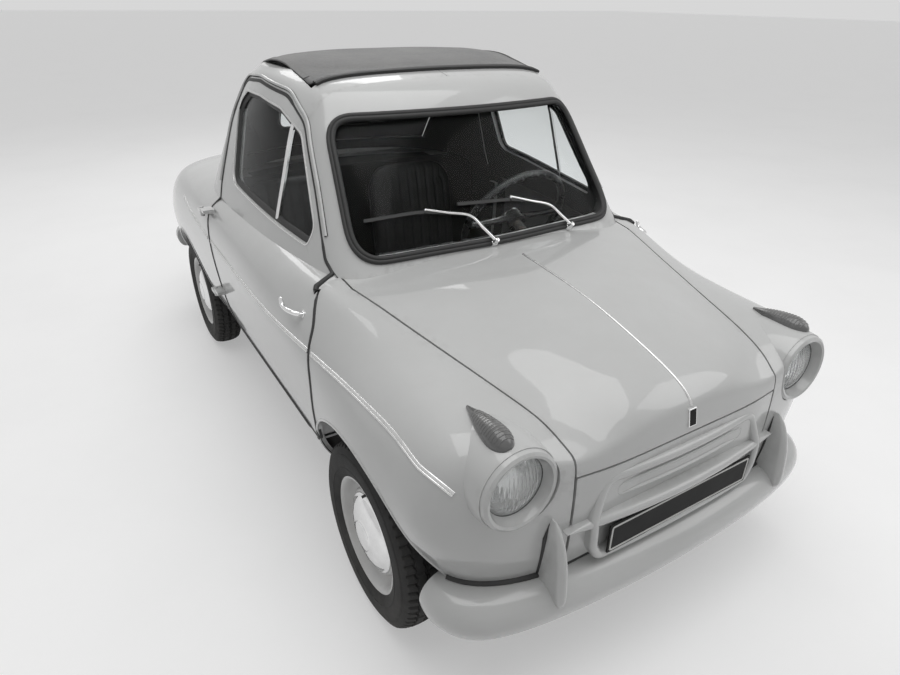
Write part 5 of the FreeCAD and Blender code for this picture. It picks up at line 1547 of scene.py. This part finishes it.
class CAR_OT_tail(bpy.types.Operator):
    """Add the engine lid's handle, its plate lamp and its louvre hoods, and the tail lamp rims"""
    bl_idname = "microcar.tail"
    bl_label = "Tail"

    def execute(self, context):
        lid = Skin("engine_lid")
        p, n = lid.back(0.0, 0.595)
        knob = lathe([(-0.004, 0.017), (0.003, 0.017), (0.006, 0.0135), (0.020, 0.0100), (0.022, 0.0)], p, n, 28)
        middle, reach = p + n * 0.016, Vector((0.034, 0, 0))
        grip = rod_part(middle - reach, middle + reach, 0.0052)
        cover = block_part((-0.058, -0.016, -0.006), (0.058, 0.018, 0.012), 0.006)
        p, n = lid.back(0.0, 0.568)
        along = Vector((1, 0, 0))
        turn = Matrix((along, n.cross(along), n)).transposed()
        bright = join([knob, grip, ([p + turn @ v for v in cover[0]], cover[1])])
        add_mesh("engine_lid_handle_and_plate_lamp", *bright, "bright_trim", "engine_cover", angle=45)
        hoods = []
        for k in range(7):
            y = 0.800 + 0.026 * k - 0.0025
            for x0 in (-0.190, 0.060):
                pts, nrm = on_skin([lid.top(x, y) for x in spaced(x0 + 0.002, x0 + 0.128, 0.009)])
                m = len(pts) - 1
                scales = [max(0.15, math.sin(math.pi * (0.04 + 0.92 * i / m)) ** 0.35) for i in range(m + 1)]
                shape = [(-0.006, -0.001), (-0.004, 0.0030), (0.003, 0.0062), (0.0075, 0.0068), (0.0075, 0.0052),
                         (0.0020, 0.0030), (-0.001, -0.001)]
                if frames_along(pts, False, nrm)[m // 2][1].y < 0:
                    shape = [(-a, b) for a, b in reversed(shape)]
                hoods.append(sweep(pts, shape, normals=nrm, scales=scales))
        add_mesh("engine_lid_louvre_hoods", *join(hoods), "body_paint", "engine_cover", angle=45)
        skin = Skin("rear_quarter_r", "rear_quarter_l", "tail_panel")
        rims = []
        for side in (-1, 1):
            turns = [2 * math.pi * k / 48 for k in range(48)]
            hits = [skin.back(side * (0.452 + 0.0345 * math.cos(a)), 0.545 + 0.0525 * math.sin(a)) for a in turns]
            rims.append(laid(hits, strip((0.004, -0.006), (0.004, 0.003), top=0.0055), 0.001, True))
        add_mesh("tail_lamp_rims", *join(rims), "bright_trim", "body", angle=50)
        return {"FINISHED"}


class CAR_OT_bumper_rubber(bpy.types.Operator):
    """Lay the rubber strips between the bumpers, their guards and the body"""
    bl_idname = "microcar.bumper_rubber"
    bl_label = "Bumper rubber"

    def execute(self, context):
        for name, sign, z, y0, skins in (
                ("front", -1, 0.3455, -0.95, ("nose_panel", "front_wing_r", "front_wing_l")),
                ("rear", 1, 0.4015, 0.95, ("tail_panel", "rear_quarter_r", "rear_quarter_l"))):
            skin = Skin(*skins)
            hits = []
            for k in range(121):
                a = math.radians(-62 + 124 * k / 120)
                out = Vector((math.sin(a), sign * math.cos(a), 0))
                hits.append(skin.hit(Vector((0, y0, z)) + out * 1.4, -out))
            hits = [h for h in hits if h is not None and abs(h[0].y) > 1.0]
            pts, nrm = on_skin(hits)
            section = strip((0.0055, -0.004), (0.0055, 0.005), (0.003, 0.009))
            line = sweep(eased(pts, closed=False), section, normals=nrm)
            add_mesh(name + "_bumper_rubber", *line, "seal_rubber", "body", angle=50)
        skin = Skin("front_wing_r", "front_wing_l", "nose_panel")
        pads = []
        for side in (-1, 1):
            pts, nrm = on_skin([skin.front(side * GUARD_X, z) for z in spaced(0.352, 0.494, 0.006)])
            last = len(pts) - 1
            scales = [min(1.0, 0.35 + 0.65 * (last - k) / 6) for k in range(last + 1)]
            section = strip((0.0165, -0.003), (0.0165, 0.0024), (0.0135, 0.004))
            pads.append(sweep(pts, section, normals=nrm, scales=scales))
        add_mesh("bumper_guard_rubber", *join(pads), "seal_rubber", "body", angle=50)
        return {"FINISHED"}


class CAR_OT_running_gear(bpy.types.Operator):
    """Wind the coil springs and add the bolts of the rear back plates"""
    bl_idname = "microcar.running_gear"
    bl_label = "Running gear"

    def execute(self, context):
        coils = []
        for side in (-1, 1):
            for x, y, radius, foot, height, turns, wire in ((0.390, FRONT_AXLE, 0.0345, 0.350, 0.200, 8, 0.0052),
                                                            (0.462, REAR_AXLE, 0.0300, 0.285, 0.215, 7, 0.0050)):
                steps = turns * 20
                path = []
                for k in range(steps + 1):
                    a = 2 * math.pi * k / 20
                    path.append(Vector((side * x + radius * math.cos(a), y + radius * math.sin(a),
                                        foot + height * k / steps)))
                coils.append(sweep(path, round_profile(wire, count=8)))
        add_mesh("coil_springs", *join(coils), "dark_steel", "body", angle=60)
        bolts = []
        for side in (1, -1):
            for k in range(4):
                a = math.radians(45 + 90 * k)
                base = Vector((side * 0.5035, REAR_AXLE + 0.062 * math.cos(a), HUB_Z + 0.062 * math.sin(a)))
                bolts.append(rod_part(base, base - Vector((side * 0.010, 0, 0)), 0.008, 6))
        add_mesh("rear_back_plate_bolts", *join(bolts), "dark_steel", "body", angle=30)
        return {"FINISHED"}


OPERATORS = [CAR_OT_paint, CAR_OT_stage, CAR_OT_tyres, CAR_OT_wheels, CAR_OT_seats, CAR_OT_roof, CAR_OT_seals,
             CAR_OT_trim,
             CAR_OT_lamps, CAR_OT_nose, CAR_OT_body_edges, CAR_OT_wipers, CAR_OT_handles, CAR_OT_cabin, CAR_OT_tail,
             CAR_OT_bumper_rubber, CAR_OT_running_gear]
STEPS = [operator.bl_idname.split(".")[1] for operator in OPERATORS]


class CAR_PT_panel(bpy.types.Panel):
    """Lists the sizes, the colours and the pieces of the car"""
    bl_label = "Microcar"
    bl_idname = "CAR_PT_panel"
    bl_space_type = "VIEW_3D"
    bl_region_type = "UI"
    bl_category = "Microcar"

    def draw(self, context):
        layout = self.layout
        for group in (context.scene.car_colours, context.scene.car_sizes):
            box = layout.box()
            for key in group.__annotations__:
                box.prop(group, key)
        for step in STEPS:
            layout.operator("microcar." + step)


CLASSES = [CarColours, CarSizes, *OPERATORS, CAR_PT_panel]


def register():
    for item in CLASSES:
        bpy.utils.register_class(item)
    bpy.types.Scene.car_colours = PointerProperty(type=CarColours)
    bpy.types.Scene.car_sizes = PointerProperty(type=CarSizes)


def unregister():
    del bpy.types.Scene.car_sizes
    del bpy.types.Scene.car_colours
    for item in reversed(CLASSES):
        bpy.utils.unregister_class(item)


def main():
    register()
    for step in STEPS:
        getattr(bpy.ops.microcar, step)()


if __name__ == "__main__":
    main()
